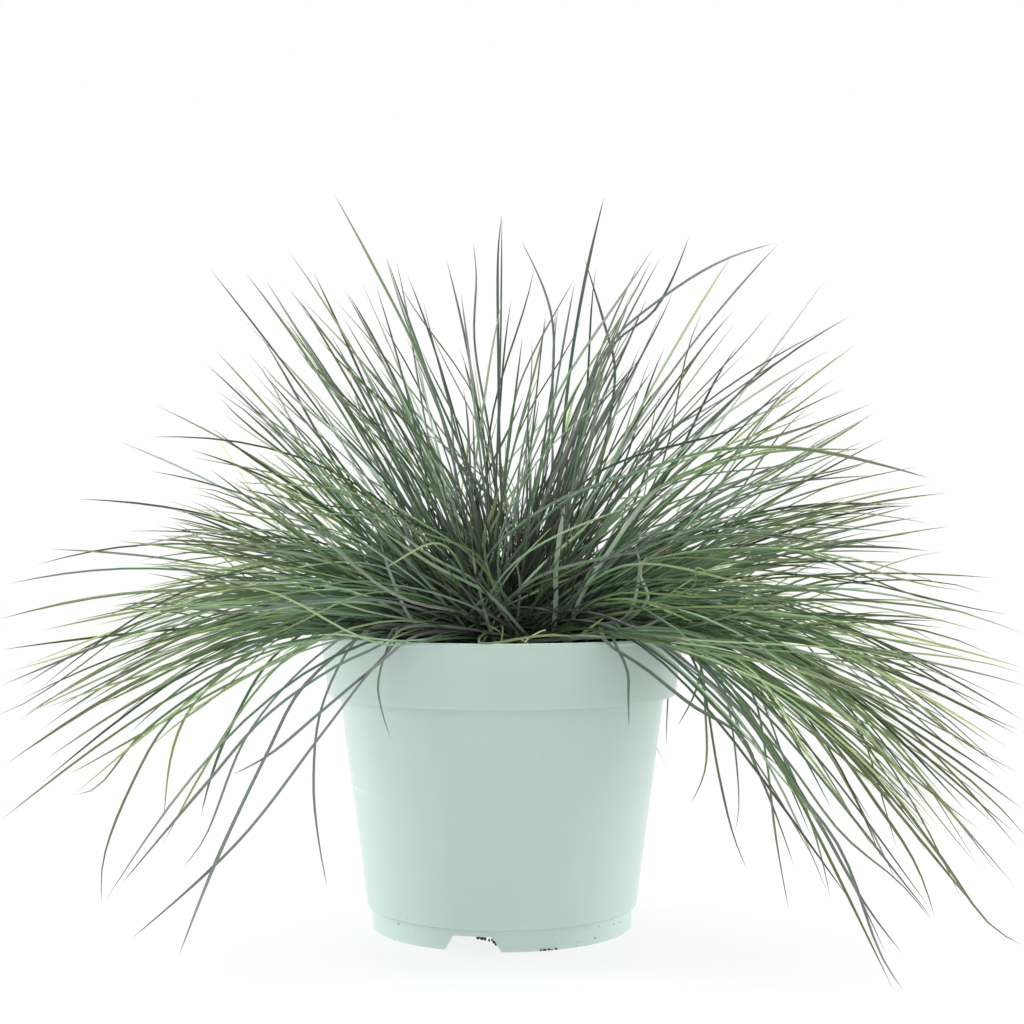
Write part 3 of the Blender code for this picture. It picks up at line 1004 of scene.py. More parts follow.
def lay_leaf(path, width, roll, twist):
    """Copy of the straight leaf whose rings sit along a path, rolled and twisted, in degrees."""
    master = leaf_masters[len(path) - 1]
    heading = np.gradient(path, axis=0)
    heading /= np.linalg.norm(heading, axis=1)[:, None]
    chord = path[-1] - path[0]
    level = np.cross(chord, (0.0, 0.0, 1.0))
    side = level - heading * (heading @ level)[:, None]
    side /= np.maximum(np.linalg.norm(side, axis=1)[:, None], 0.00001)
    upper = np.cross(side, heading)
    turn = np.radians(roll + twist * master.shares)[:, None]
    rolled_side = side * np.cos(turn) + upper * np.sin(turn)
    rolled_upper = upper * np.cos(turn) - side * np.sin(turn)
    across = rolled_side[master.levels] * master.points[:, 0:1]
    through = rolled_upper[master.levels] * master.points[:, 1:2]
    return path[master.levels] + (across + through) * width


# %% [markdown]
# Leaves keep clear of the pot: where one passes over the rim it is above the lip, and past the
# rim it hangs outside. A leaf also stays over the floor and inside the clump's outline. From
# above that is the box that the solid tufts fill. From the front it is the ragged edge that the
# tips draw in the photograph, given as pixels that run round the clump from the left wing's
# lowest tips. Only what hangs behind the pot is free of that edge.

# %% What a leaf may not touch
RIM_CLEARANCE = 0.0014
RIM_BAND = (collar_radius(POT_HEIGHT) - WALL - 0.0012, RIM_RADIUS + 0.0012)
LOWEST_LEAF_Z = 0.006
SUB_STEPS = 5
RIM_ROW = 641
POT_HALF_PIXELS = 165
CLUMP_EDGE = np.array([
    (-40, 850), (-40, 668), (24, 640), (104, 592), (140, 524), (186, 452), (214, 386), (232, 320), (292, 268),
    (345, 240), (420, 262), (505, 240), (600, 232), (690, 245), (765, 262), (822, 296), (848, 345), (872, 404),
    (915, 468), (945, 520), (1000, 600), (1060, 640), (1060, 950), (985, 905), (900, 940), (838, 862),
    (778, 790), (735, 726), (702, 668), (690, 650), (508, 650), (330, 648), (290, 662), (235, 706),
    (160, 756), (90, 808), (40, 840),
])


def fine_path(path):
    steps = len(path) - 1
    places = np.linspace(0, steps, steps * SUB_STEPS + 1)
    return np.stack([np.interp(places, np.arange(steps + 1), path[:, axis]) for axis in range(3)], 1)


def clears_pot(path):
    fine = fine_path(path)
    radius = np.hypot(fine[:, 0], fine[:, 1])
    low = fine[:, 2] < POT_HEIGHT + RIM_CLEARANCE
    over_rim = (radius > RIM_BAND[0]) & (radius < RIM_BAND[1])
    under = (radius < RIM_BAND[0]) & (fine[:, 2] < SOIL_Z + 0.003)
    beside_crown = radius > CROWN_RADIUS
    return not (low & over_rim).any() and not (under & beside_crown).any()


def over_floor_plan(path):
    radius = np.hypot(path[:, 0], path[:, 1])
    limits = np.array([reach(math.degrees(math.atan2(y, x))) for x, y in path[:, :2]])
    return bool((radius <= limits).all() and path[:, 2].min() > LOWEST_LEAF_Z)


def as_seen(path):
    """Pixels (across, down) at which the points of a path show."""
    away = path[:, 1] - CAMERA_PLACE.y
    across = FRAME_PIXELS / 2 + (path[:, 0] - CAMERA_PLACE.x) * FOCAL_PIXELS / away
    down = FRAME_PIXELS / 2 - (path[:, 2] - CAMERA_PLACE.z) * FOCAL_PIXELS / away
    return across, down


def outside_edge(path):
    """Which points of a path show outside the clump's edge."""
    across, down = as_seen(path)
    start, end = CLUMP_EDGE, np.roll(CLUMP_EDGE, -1, 0)
    crosses = (start[:, 1] > down[:, None]) != (end[:, 1] > down[:, None])
    slope = (end[:, 0] - start[:, 0]) / np.where(end[:, 1] == start[:, 1], 1e-9, end[:, 1] - start[:, 1])
    to_left = across[:, None] < start[:, 0] + (down[:, None] - start[:, 1]) * slope
    inside = (crosses & to_left).sum(1) % 2 == 1
    hidden = (path[:, 1] > 0) & (abs(across - FRAME_PIXELS / 2) < POT_HALF_PIXELS) & (down > RIM_ROW)
    return ~inside & ~hidden, down


# %% [markdown]
# Now each tuft fans out. Leaves start within a few millimetres of the tuft's root, scatter in
# lean and direction, and differ in length: most stop at half to four fifths of the full length,
# and a few reach the outline. A real clump is never combed, so about one leaf in four wanders
# across its neighbours, and short young leaves fill the foot of each tuft. Low leaves that would
# hang straight over the front of the pot are rare, which leaves the pot's face clear, and so are
# those that stand straight up, because the clump parts a little in the middle.

# %% Fan out the tufts
ROOT_SPREAD = 0.0085
LEAN_SCATTER = 14.0
AZIMUTH_SCATTER = 25.0
FACE_HALF_ANGLE = 30.0
FACE_LEAN = 34.0
WANDER_SHARE = 0.30
PARTING_LEAN = 9.0
PARTING_SHARE = 0.55
SHORT_LEAVES = 9
LONG_SHARES = {"heart": 0.18, "inner": 0.22, "middle": 0.24, "outer": 0.22, "skirt": 0.20}
RIGHT_SIDE_EXTRA_LEAVES = {"heart": 0.10, "inner": 0.15, "middle": 0.28, "outer": 0.34, "skirt": 0.30}
EDGE_TRIALS = 22
# Painted light and shade: each leaf's lightness, drawn from three kinds at these shares, stands partly for its own
# tone and partly for how lit or shaded the leaf is.
LIGHT_KINDS = ((0.32, 0.80, 0.52), (0.75, 1.25, 0.98), (1.20, 2.30, 1.55))
LIGHT_SHARES = (0.32, 0.40, 0.28)
Blade = namedtuple("Blade", "path width roll twist tone dryness light")


def root_place(row, rng):
    angle = math.radians(row["root_azimuth"])
    radius = row["ring"].radius
    away = ROOT_SPREAD * math.sqrt(rng.random())
    around = rng.uniform(0, math.tau)
    x = radius * math.cos(angle) + away * math.cos(around)
    y = radius * math.sin(angle) + away * math.sin(around)
    return np.array([x, y, crown_z(math.hypot(x, y)) - 0.0015])


def blade_looks(ring, rng):
    """Width, roll, twist, tone, dryness and painted light of one leaf: its lightness, partly its own and partly
    painted light and shade.
    """
    width = min(0.0018, max(0.0008, rng.gauss(0.00114, 0.00022)))
    roll = rng.gauss(0, 30)
    twist = rng.gauss(0, 55)
    tone = min(1.0, max(0.0, ring.tone + rng.gauss(0, 0.19)))
    draw = rng.random()
    dryness = 1.0 if draw < 0.005 else rng.uniform(0.45, 0.7) if draw < 0.07 else rng.uniform(0.0, 0.25)
    light = rng.triangular(*rng.choices(LIGHT_KINDS, LIGHT_SHARES)[0])
    return width, roll, twist, tone, dryness, light


def fit_path(base, azimuth, lean, droop, length, swing, ease, waves, trim=1.0):
    """Shorten, straighten or lift a leaf until it clears the pot and stays inside the outline.

    A leaf that had to be shortened is trimmed once more, so that the tips don't line up."""
    first_length = length
    for trial in range(EDGE_TRIALS):
        path = leaf_path(base, azimuth - swing * 0.4, lean, droop, length, swing, ease, waves)
        if not clears_pot(path):
            lean = max(0.5, lean - 3.0)
            droop *= 0.93
            continue
        outside, down = outside_edge(path)
        if over_floor_plan(path) and not outside.any():
            if length == first_length or trim == 1.0:
                return path
            length *= trim
            trim = 1.0
            continue
        if outside.any() and down[outside].max() > RIM_ROW and trial % 2:
            droop *= 0.90
        else:
            length *= 0.94
    return None


def scatter_blade(row, rng):
    """One leaf of a tuft, or None where it would hang over the pot's face."""
    ring = row["ring"]
    base = root_place(row, rng)
    wanders = rng.random() < WANDER_SHARE * (0.4 if ring.name == "skirt" else 1)
    lean = max(0.5, row["lean"] + rng.gauss(0, 19 if wanders else LEAN_SCATTER))
    scatter = 75.0 if wanders else AZIMUTH_SCATTER / max(0.35, math.sin(math.radians(lean)))
    azimuth = row["azimuth"] + rng.gauss(0, scatter)
    to_right = math.cos(math.radians(azimuth))
    droop = row["droop"] * rng.uniform(0.10, 1.15)
    droop *= 0.76 + 0.26 * to_right if ring.name == "skirt" else 1 - 0.04 * to_right
    share = rng.uniform(0.8, 1.0) if rng.random() < LONG_SHARES[ring.name] else 0.36 + 0.50 * rng.random()
    length = row["length"] * share * (0.85 if wanders else 1.0)
    swing = rng.gauss(0, 38 if wanders else 18)
    ease = rng.uniform(0.7, 1.8)
    if ring.name == "skirt":
        ease += 0.6 + 0.5 * to_right
    waves = (rng.gauss(0, 8), rng.gauss(0, 11))
    over_face = abs(off_front(azimuth)) < FACE_HALF_ANGLE and lean > FACE_LEAN
    in_parting = abs(lean * to_right) < PARTING_LEAN and lean < FACE_LEAN
    if (over_face and rng.random() < 0.8) or (in_parting and rng.random() < PARTING_SHARE):
        return None
    path = fit_path(base, azimuth, lean, droop, length, swing, ease, waves, rng.uniform(0.70, 1.0))
    return None if path is None else Blade(path, *blade_looks(ring, rng))


def short_blade(row, rng):
    """A young leaf at the foot of a tuft, drawn darker than the rest as painted shade for the foot of the clump."""
    base = root_place(row, rng)
    lean = max(0.5, row["lean"] * 0.8 + rng.gauss(0, 18))
    azimuth = row["azimuth"] + rng.gauss(0, 50)
    swing = rng.gauss(0, 40)
    path = fit_path(base, azimuth, lean, rng.uniform(5, 60), rng.uniform(0.035, 0.095), swing, 1.0, (0, 0))
    if path is None:
        return None
    width, roll, twist, tone, dryness, light = blade_looks(row["ring"], rng)
    # Painted shade: the young leaf is drawn at half lightness.
    return Blade(path, width, roll, twist, tone, dryness, light * 0.50)


rng = random.Random(3)
for row in tufts:
    to_right = math.cos(math.radians(row["azimuth"]))
    count = round(row["ring"].blades * (1 + RIGHT_SIDE_EXTRA_LEAVES[row["ring"].name] * to_right))
    grown = [scatter_blade(row, rng) for _ in range(count)]
    grown += [short_blade(row, rng) for _ in range(SHORT_LEAVES)]
    row["blades"] += [blade for blade in grown if blade]
print(sum(len(row["blades"]) for row in tufts), "leaves fan out of the tufts")

# %% [markdown]
# The long leaves that stand out of the outline give this plant its face, so they are placed one
# by one. Each is named by the pixel where its tip is seen and gets a depth inside the clump. The
# leaf then has to reach that place from one of the roots: for a given droop its arc is known up
# to a turn and a scale, so its lean and its length follow from where the tip is. The tuft that
# needs the smallest change from its own lean and direction gets the leaf. A few areas where the
# clump is at its thickest get more leaves in the same way, with their tips scattered over them.

# %% Leaves of the outline
TipGroup = namedtuple("TipGroup", "depths droops ease width tips")
OUTLINE_TIPS = (
    TipGroup((-0.05, 0.06), (3, 22), 0.9, 0.00135, (
        (502, 215), (287, 249), (209, 268), (245, 272), (265, 279), (313, 271), (407, 274), (446, 258),
        (344, 289), (295, 325), (215, 350), (206, 364), (575, 281), (661, 257), (734, 252), (735, 309),
        (826, 279), (852, 315), (855, 345), (835, 378), (229, 393), (262, 372), (300, 300), (640, 262),
    )),
    TipGroup((-0.06, 0.05), (18, 52), 1.2, 0.00140, (
        (780, 242), (155, 405), (148, 437), (118, 441), (150, 471), (78, 499), (116, 541), (49, 549),
        (36, 565), (8, 584), (0, 619), (0, 650), (873, 403), (874, 414), (866, 440), (917, 467),
        (931, 484), (947, 493), (899, 506), (952, 526), (994, 578), (1024, 634), (975, 614), (979, 631),
    )),
    TipGroup((-0.15, 0.02), (34, 70), 2.0, 0.00140, (
        (0, 686), (23, 667), (25, 714), (5, 765), (56, 708), (46, 759), (0, 821), (40, 784), (74, 795),
        (970, 659), (1024, 668), (1024, 721), (992, 708), (1018, 735), (998, 778), (1024, 810),
        (998, 828), (1021, 851), (1018, 890), (1000, 876), (875, 827),
    )),
    TipGroup((-0.20, -0.06), (50, 88), 2.2, 0.00145, (
        (102, 906), (161, 848), (985, 919), (935, 922), (899, 887), (894, 991), (855, 907), (831, 901),
    )),
)
TipArea = namedtuple("TipArea", "depths droops ease low high count")
FILLED_AREAS = (
    TipArea((-0.06, 0.05), (6, 26), 1.0, (590, 300), (666, 390), 14),
    TipArea((-0.06, 0.05), (8, 30), 1.0, (270, 290), (400, 380), 6),
    TipArea((-0.05, 0.05), (20, 44), 1.2, (760, 330), (850, 420), 4),
    TipArea((-0.12, 0.04), (30, 60), 1.3, (830, 500), (960, 610), 14),
    TipArea((-0.12, 0.04), (26, 60), 1.3, (110, 530), (230, 610), 24),
    TipArea((-0.14, 0.04), (34, 66), 1.4, (90, 610), (200, 680), 30),
    TipArea((-0.15, 0.02), (40, 72), 1.5, (4, 660), (130, 750), 18),
    TipArea((-0.18, 0.00), (44, 80), 1.8, (880, 690), (1010, 840), 24),
    TipArea((-0.18, -0.04), (50, 88), 1.9, (810, 750), (940, 870), 18),
)
LOWEST_TIP_Z = 0.012
BOW_SHARE = 0.045
DROOP_TRIALS = (0.6, 0.8, 1.0, 1.25, 1.5)


def depth_above_floor(pixel, depth):
    """Bring a low tip forwards until it hangs clear of the floor."""
    below = pixel[1] - FRAME_PIXELS / 2
    if below <= 0:
        return depth
    nearest = CAMERA_PLACE.y + (CAMERA_PLACE.z - LOWEST_TIP_Z) * FOCAL_PIXELS / below
    return min(depth, nearest)


def arc_to(base, tip, droop, ease):
    """Azimuth, lean and length of the leaf that starts at base and ends at tip."""
    unit = leaf_path(np.zeros(3), 0.0, 0.0, droop, 1.0, 0.0, ease)[-1]
    gap = tip - base
    level = math.hypot(gap[0], gap[1])
    lean = math.degrees(math.atan2(level, gap[2]) - math.atan2(unit[0], unit[2]))
    azimuth = math.degrees(math.atan2(gap[1], gap[0]))
    return azimuth, lean, float(np.linalg.norm(gap) / np.linalg.norm(unit))


def bow_sideways(path, azimuth, bow):
    """Push the middle of a path to one side, and keep both its ends."""
    angle = math.radians(azimuth)
    side = np.array([-math.sin(angle), math.cos(angle), 0.3])
    along = np.linspace(0, 1, len(path))
    return path + np.outer(np.sin(math.pi * along ** 1.3) * bow, side)


def misfit(row, azimuth, lean):
    turn = (azimuth - row["azimuth"] + 180) % 360 - 180
    return ((lean - row["lean"]) / 10) ** 2 + (turn * max(0.3, math.sin(math.radians(max(lean, 1)))) / 14) ** 2


def place_tip(pixel, group, width, rng):
    depth = depth_above_floor(pixel, rng.uniform(*group.depths))
    tip = np.array(seen_at(pixel, depth))
    best = None
    droop = rng.uniform(*group.droops)
    bow = rng.gauss(0, BOW_SHARE)
    for row in tufts:
        base = root_place(row, rng)
        for trial in DROOP_TRIALS:
            azimuth, lean, length = arc_to(base, tip, droop * trial, group.ease)
            path = leaf_path(base, azimuth, lean, droop * trial, length, 0.0, group.ease)
            path = bow_sideways(path, azimuth, length * bow)
            cost = misfit(row, azimuth, lean) + abs(trial - 1) * 2
            if clears_pot(path) and lean > -5 and (best is None or cost < best[0]):
                best = (cost, row, path)
    if best is None:
        print("no leaf reaches", pixel)
        return False
    cost, row, path = best
    own_width, roll, twist, tone, dryness, light = blade_looks(row["ring"], rng)
    row["blades"].append(Blade(path, width or own_width, roll, twist, tone, min(dryness, 0.3), light))
    return True


rng = random.Random(41)
placed = sum(place_tip(pixel, group, group.width, rng) for group in OUTLINE_TIPS for pixel in group.tips)
for area in FILLED_AREAS:
    corners = list(zip(area.low, area.high))
    placed += sum(place_tip([rng.uniform(*pair) for pair in corners], area, None, rng) for _ in range(area.count))
print(placed, "leaves placed by their tips")

# %% [markdown]
# Some leaves are known from end to end, because nothing covers them: those that cross the heart
# in front, those that hang over the rim, and the longest ones of the crest. Each is given by the
# pixels it passes, with its depth at the first and the last of them. A smooth curve runs from the
# crown through those places, and is cut into the steps of a leaf. Of many places on the crown, it
# starts at the one that gives it the straightest start.

# %% Leaves that are seen whole
# Painted light: the last column of a seen leaf is its painted light. The palest front leaves are partly their own
# pale bloom and partly drawn as lit, and above about 1.1 the painted light also spares a leaf the painted shade at
# its foot.
SeenLeaf = namedtuple("SeenLeaf", "pixels depths width tone light")
PALE_LIT = 1.9
VIA_RISE = 0.006
CROWN_STARTS = 140
FRONT_LEAVES = (
    SeenLeaf(((553, 642), (556, 600), (556, 573), (560, 535), (565, 505)), (-0.050, -0.075), 0.0023, 0.24, PALE_LIT),
    SeenLeaf(((564, 644), (582, 596), (612, 548), (644, 503), (660, 488)), (-0.050, -0.090), 0.0023, 0.24, PALE_LIT),
    SeenLeaf(((563, 618), (585, 580), (617, 525)), (-0.050, -0.070), 0.0017, 0.35, 1.3),
    SeenLeaf(((505, 603), (541, 576), (596, 560), (648, 551)), (-0.050, -0.090), 0.0019, 0.25, 1.25),
    SeenLeaf(((536, 644), (487, 594), (434, 566), (380, 530)), (-0.050, -0.095), 0.0019, 0.45, 1.45),
    SeenLeaf(((530, 646), (480, 585), (430, 556), (372, 512)), (-0.048, -0.100), 0.0018, 0.35, 1.5),
    SeenLeaf(((498, 646), (480, 594), (472, 546)), (-0.052, -0.070), 0.0017, 0.30, 1.5),
    SeenLeaf(((414, 623), (392, 580), (380, 542)), (-0.070, -0.090), 0.0018, 0.20, 1.5),
    SeenLeaf(((464, 626), (423, 578), (380, 532), (362, 505)), (-0.060, -0.100), 0.0019, 0.25, 1.3),
    SeenLeaf(((505, 612), (487, 566), (485, 534), (494, 507), (500, 484)), (-0.045, -0.060), 0.0018, 0.60, 1.2),
    SeenLeaf(((478, 600), (487, 557), (523, 523), (560, 500), (601, 482)), (-0.045, -0.085), 0.0017, 0.35, 1.2),
    SeenLeaf(((631, 611), (637, 593), (640, 562), (633, 541)), (-0.072, -0.084), 0.0018, 0.30, 1.7),
    SeenLeaf(((640, 611), (648, 597), (640, 574), (648, 554)), (-0.072, -0.084), 0.0017, 0.30, 1.7),
    SeenLeaf(((571, 641), (588, 630), (605, 617)), (-0.070, -0.085), 0.0016, 0.85, 1.2),
    SeenLeaf(((487, 617), (442, 628), (391, 638)), (-0.050, -0.080), 0.0015, 0.05, 0.8),
    SeenLeaf(((516, 640), (490, 612), (452, 580), (400, 545)), (-0.046, -0.085), 0.0015, 0.02, 0.95),
    SeenLeaf(((508, 642), (476, 610), (440, 585), (404, 566)), (-0.046, -0.080), 0.0014, 0.02, 0.85),
    SeenLeaf(((520, 634), (500, 604), (482, 580), (462, 540)), (-0.042, -0.060), 0.0015, 0.04, 1.0),
    SeenLeaf(((482, 642), (492, 630), (508, 623)), (-0.060, -0.055), 0.0014, 0.02, 0.9),
    SeenLeaf(((496, 646), (485, 620), (468, 596), (455, 577)), (-0.050, -0.065), 0.0014, 0.04, 0.9),
    SeenLeaf(((519, 600), (519, 580), (516, 562)), (-0.050, -0.056), 0.0013, 0.02, 1.1),
    SeenLeaf(((640, 500), (700, 470), (770, 452), (862, 450)), (-0.070, -0.090), 0.0019, 0.55, 1.35),
    SeenLeaf(((560, 505), (640, 472), (710, 452), (800, 449), (930, 478)), (-0.060, -0.100), 0.0018, 0.45, 1.3),
)
LEFT_OVER_RIM = (
    SeenLeaf(((416, 636), (382, 661), (322, 711), (269, 755), (231, 775)), (-0.086, -0.125), 0.0019, 0.10, 1.2),
    SeenLeaf(((391, 641), (378, 683), (381, 707), (391, 740)), (-0.084, -0.104), 0.0016, 0.10, 1.2),
    SeenLeaf(((396, 640), (366, 676), (318, 739), (239, 841), (130, 940)), (-0.082, -0.150), 0.0018, 0.10, 1.15),
    SeenLeaf(((388, 640), (333, 668), (265, 717), (208, 782), (119, 887)), (-0.080, -0.140), 0.0018, 0.18, 1.2),
    SeenLeaf(((356, 640), (322, 707), (314, 781), (319, 840), (328, 890)), (-0.072, -0.100), 0.0015, 0.10, 1.2),
    SeenLeaf(((357, 639), (301, 690), (267, 755), (217, 860), (178, 958)), (-0.072, -0.160), 0.0018, 0.10, 1.15),
    SeenLeaf(((338, 640), (291, 680), (245, 739), (204, 839), (181, 869)), (-0.066, -0.110), 0.0017, 0.18, 1.25),
    SeenLeaf(((276, 655), (234, 721), (213, 771), (201, 816)), (-0.060, -0.080), 0.0016, 0.30, 1.1),
    SeenLeaf(((240, 660), (169, 721), (134, 780), (104, 858), (102, 906)), (-0.060, -0.090), 0.0016, 0.50, 1.0),
    SeenLeaf(((240, 662), (193, 706), (174, 747), (164, 819)), (-0.070, -0.090), 0.0016, 0.85, 1.4),
    SeenLeaf(((200, 690), (137, 739), (108, 776), (95, 789), (75, 795)), (-0.060, -0.080), 0.0016, 0.50, 1.0),
    SeenLeaf(((300, 650), (223, 687), (152, 728), (70, 774)), (-0.060, -0.090), 0.0018, 0.65, 1.0),
)
RIGHT_OVER_RIM = (
    SeenLeaf(((613, 640), (627, 671), (628, 699), (629, 728)), (-0.086, -0.106), 0.0016, 0.10, 1.2),
    SeenLeaf(((603, 640), (645, 669), (692, 706), (743, 738), (757, 769)), (-0.085, -0.120), 0.0020, 0.10, 1.2),
    SeenLeaf(((638, 640), (679, 671), (725, 717), (779, 767)), (-0.080, -0.100), 0.0018, 0.10, 1.15),
    SeenLeaf(((652, 640), (698, 681), (751, 736), (771, 768)), (-0.076, -0.100), 0.0018, 0.14, 1.2),
    SeenLeaf(((590, 638), (641, 639), (698, 657), (769, 681), (790, 692)), (-0.078, -0.110), 0.0020, 0.30, 1.1),
    SeenLeaf(((597, 634), (641, 629), (692, 633), (790, 671)), (-0.075, -0.100), 0.0022, 0.30, 1.5),
    SeenLeaf(((621, 636), (645, 627), (667, 616), (679, 611)), (-0.078, -0.090), 0.0020, 0.20, 1.4),
    SeenLeaf(((680, 640), (700, 665), (705, 712), (705, 769), (690, 805)), (-0.060, -0.075), 0.0014, 0.85, 1.1),
    SeenLeaf(((684, 645), (701, 681), (718, 773), (733, 835), (748, 872)), (-0.055, -0.080), 0.0014, 0.30, 1.1),
    SeenLeaf(((700, 650), (720, 676), (739, 803), (734, 835)), (-0.050, -0.060), 0.0013, 0.30, 1.1),
    SeenLeaf(((715, 680), (743, 739), (771, 803), (795, 869)), (-0.060, -0.090), 0.0015, 0.18, 1.15),
    SeenLeaf(((725, 660), (752, 692), (767, 765), (775, 833), (789, 912)), (-0.050, -0.100), 0.0014, 0.40, 1.1),
    SeenLeaf(((700, 650), (698, 684), (677, 727)), (-0.050, -0.060), 0.0013, 0.85, 1.2),
    SeenLeaf(((760, 720), (809, 818), (831, 901)), (-0.090, -0.110), 0.0016, 0.18, 1.2),
    SeenLeaf(((730, 700), (788, 780), (839, 848), (880, 954), (904, 991)), (-0.110, -0.190), 0.0018, 0.14, 1.15),
    SeenLeaf(((735, 700), (803, 799), (848, 876), (886, 954)), (-0.100, -0.160), 0.0016, 0.18, 1.2),
    SeenLeaf(((740, 705), (809, 806), (865, 904), (903, 954)), (-0.100, -0.160), 0.0016, 0.30, 1.1),
    SeenLeaf(((760, 730), (843, 835), (901, 884), (933, 923)), (-0.090, -0.130), 0.0016, 0.40, 1.1),
    SeenLeaf(((800, 710), (882, 812), (916, 865), (935, 918)), (-0.080, -0.130), 0.0016, 0.50, 1.1),
    SeenLeaf(((850, 750), (935, 850), (986, 921), (1024, 946)), (-0.080, -0.150), 0.0017, 0.50, 1.1),
)
CREST_LEAVES = (
    SeenLeaf(((470, 500), (420, 360), (372, 264), (334, 194)), (-0.010, 0.010), 0.0018, 0.55, 1.0),
    SeenLeaf(((560, 470), (570, 370), (585, 280), (604, 197)), (-0.010, 0.010), 0.0017, 0.20, 0.9),
    SeenLeaf(((500, 470), (498, 360), (498, 250), (502, 215)), (-0.010, 0.000), 0.0015, 0.10, 0.9),
    SeenLeaf(((490, 440), (474, 340), (476, 275), (473, 242)), (0.000, 0.020), 0.0015, 0.15, 0.9),
    SeenLeaf(((540, 470), (548, 410), (553, 370), (550, 310), (521, 240)), (-0.020, 0.000), 0.0015, 0.15, 0.9),
    SeenLeaf(((505, 470), (515, 400), (530, 360), (574, 280)), (-0.020, 0.010), 0.0014, 0.30, 0.9),
    SeenLeaf(((600, 470), (615, 370), (606, 330), (584, 257)), (-0.010, 0.010), 0.0014, 0.15, 0.9),
    SeenLeaf(((570, 480), (610, 350), (655, 310), (689, 237)), (0.000, 0.030), 0.0015, 0.20, 0.9),
    SeenLeaf(((580, 420), (610, 345), (660, 300), (720, 262), (775, 243)), (-0.020, 0.010), 0.0015, 0.15, 0.9),
    SeenLeaf(((470, 470), (440, 400), (410, 330), (386, 258)), (-0.010, 0.020), 0.0015, 0.30, 0.95),
)


def smooth_through(places, count):
    """Even steps along a smooth curve through the places. Short and long gaps may follow each other:
    the time given to a gap is the root of its length, which keeps the curve free of loops."""
    places = np.array(places)
    steps = np.diff(places, axis=0)
    gaps = np.sqrt(np.linalg.norm(steps, axis=1))[:, None]
    speeds = steps / gaps
    middle = (speeds[:-1] * gaps[1:] + speeds[1:] * gaps[:-1]) / (gaps[:-1] + gaps[1:])
    speeds_at = np.vstack([1.5 * speeds[0] - 0.5 * middle[0], middle, 1.5 * speeds[-1] - 0.5 * middle[-1]])
    curve = []
    for index, gap in enumerate(gaps):
        for t in np.linspace(0, 1, 12, endpoint=False):
            held = (2 * t ** 3 - 3 * t ** 2 + 1) * places[index] + (3 * t ** 2 - 2 * t ** 3) * places[index + 1]
            leaving = (t ** 3 - 2 * t ** 2 + t) * gap * speeds_at[index]
            arriving = (t ** 3 - t ** 2) * gap * speeds_at[index + 1]
            curve.append(held + leaving + arriving)
    curve = np.array([*curve, places[-1]])
    walked = np.concatenate([[0], np.cumsum(np.linalg.norm(np.diff(curve, axis=0), axis=1))])
    wanted = np.linspace(0, walked[-1], count)
    return np.stack([np.interp(wanted, walked, curve[:, axis]) for axis in range(3)], 1)


def over_the_rim(base, place):
    """A place above the rim for a leaf that goes from base to a place outside and below it."""
    reached = np.hypot(*place[:2])
    if reached < RIM_RADIUS or place[2] > POT_HEIGHT + 2 * VIA_RISE:
        return []
    share = (RIM_RADIUS - np.hypot(*base[:2])) / (reached - np.hypot(*base[:2]))
    via = base + (place - base) * share
    via[2] = POT_HEIGHT + VIA_RISE * (1 + 2 * (reached - RIM_RADIUS) / RIM_RADIUS)
    return [via]


def start_cost(route, path):
    """Least for a leaf that starts close by, rises at once and goes on in the same direction."""
    first, second = route[1] - route[0], route[2] - route[1]
    cosine = float(first @ second / (np.linalg.norm(first) * np.linalg.norm(second)))
    sinks = max(0.0, -first[2]) * 40
    return (1 - cosine) * 1.5 + np.linalg.norm(first) * 7 + sinks + (0 if clears_pot(path) else 5)


def crown_places(rng):
    """Places all over the crown where a leaf can start."""
    places = []
    for _ in range(CROWN_STARTS):
        radius = (CROWN_RADIUS - 0.001) * math.sqrt(rng.random())
        angle = rng.uniform(0, math.tau)
        places.append(np.array([radius * math.cos(angle), radius * math.sin(angle), crown_z(radius) - 0.0015]))
    return places


def nearest_tuft(base):
    def away(row):
        angle = math.radians(row["root_azimuth"])
        radius = row["ring"].radius
        return math.hypot(base[0] - radius * math.cos(angle), base[1] - radius * math.sin(angle))
    return min(tufts, key=away)


def grow_seen_leaf(seen, starts, rng):
    shares = np.linspace(0, 1, len(seen.pixels))
    depths = seen.depths[0] + (seen.depths[1] - seen.depths[0]) * shares
    places = [np.array(seen_at(pixel, depth_above_floor(pixel, depth))) for pixel, depth in zip(seen.pixels, depths)]
    best = None
    for base in starts:
        route = [base, *over_the_rim(base, places[0]), *places]
        path = smooth_through(route, CURLY_STEPS + 1)
        cost = start_cost(route, path)
        if best is None or cost < best[0]:
            best = (cost, base, path)
    cost, base, path = best
    if cost > 5:
        print("touches the pot:", seen.pixels)
    row = nearest_tuft(base)
    width, roll, twist, tone, dryness, light = blade_looks(row["ring"], rng)
    row["blades"].append(Blade(path, seen.width, roll * 0.5, twist, seen.tone, 0.1, seen.light))


rng = random.Random(59)
seen_leaves = FRONT_LEAVES + LEFT_OVER_RIM + RIGHT_OVER_RIM + CREST_LEAVES
starts = crown_places(rng)
for seen in seen_leaves:
    grow_seen_leaf(seen, starts, rng)
print(len(seen_leaves), "leaves that are seen whole")
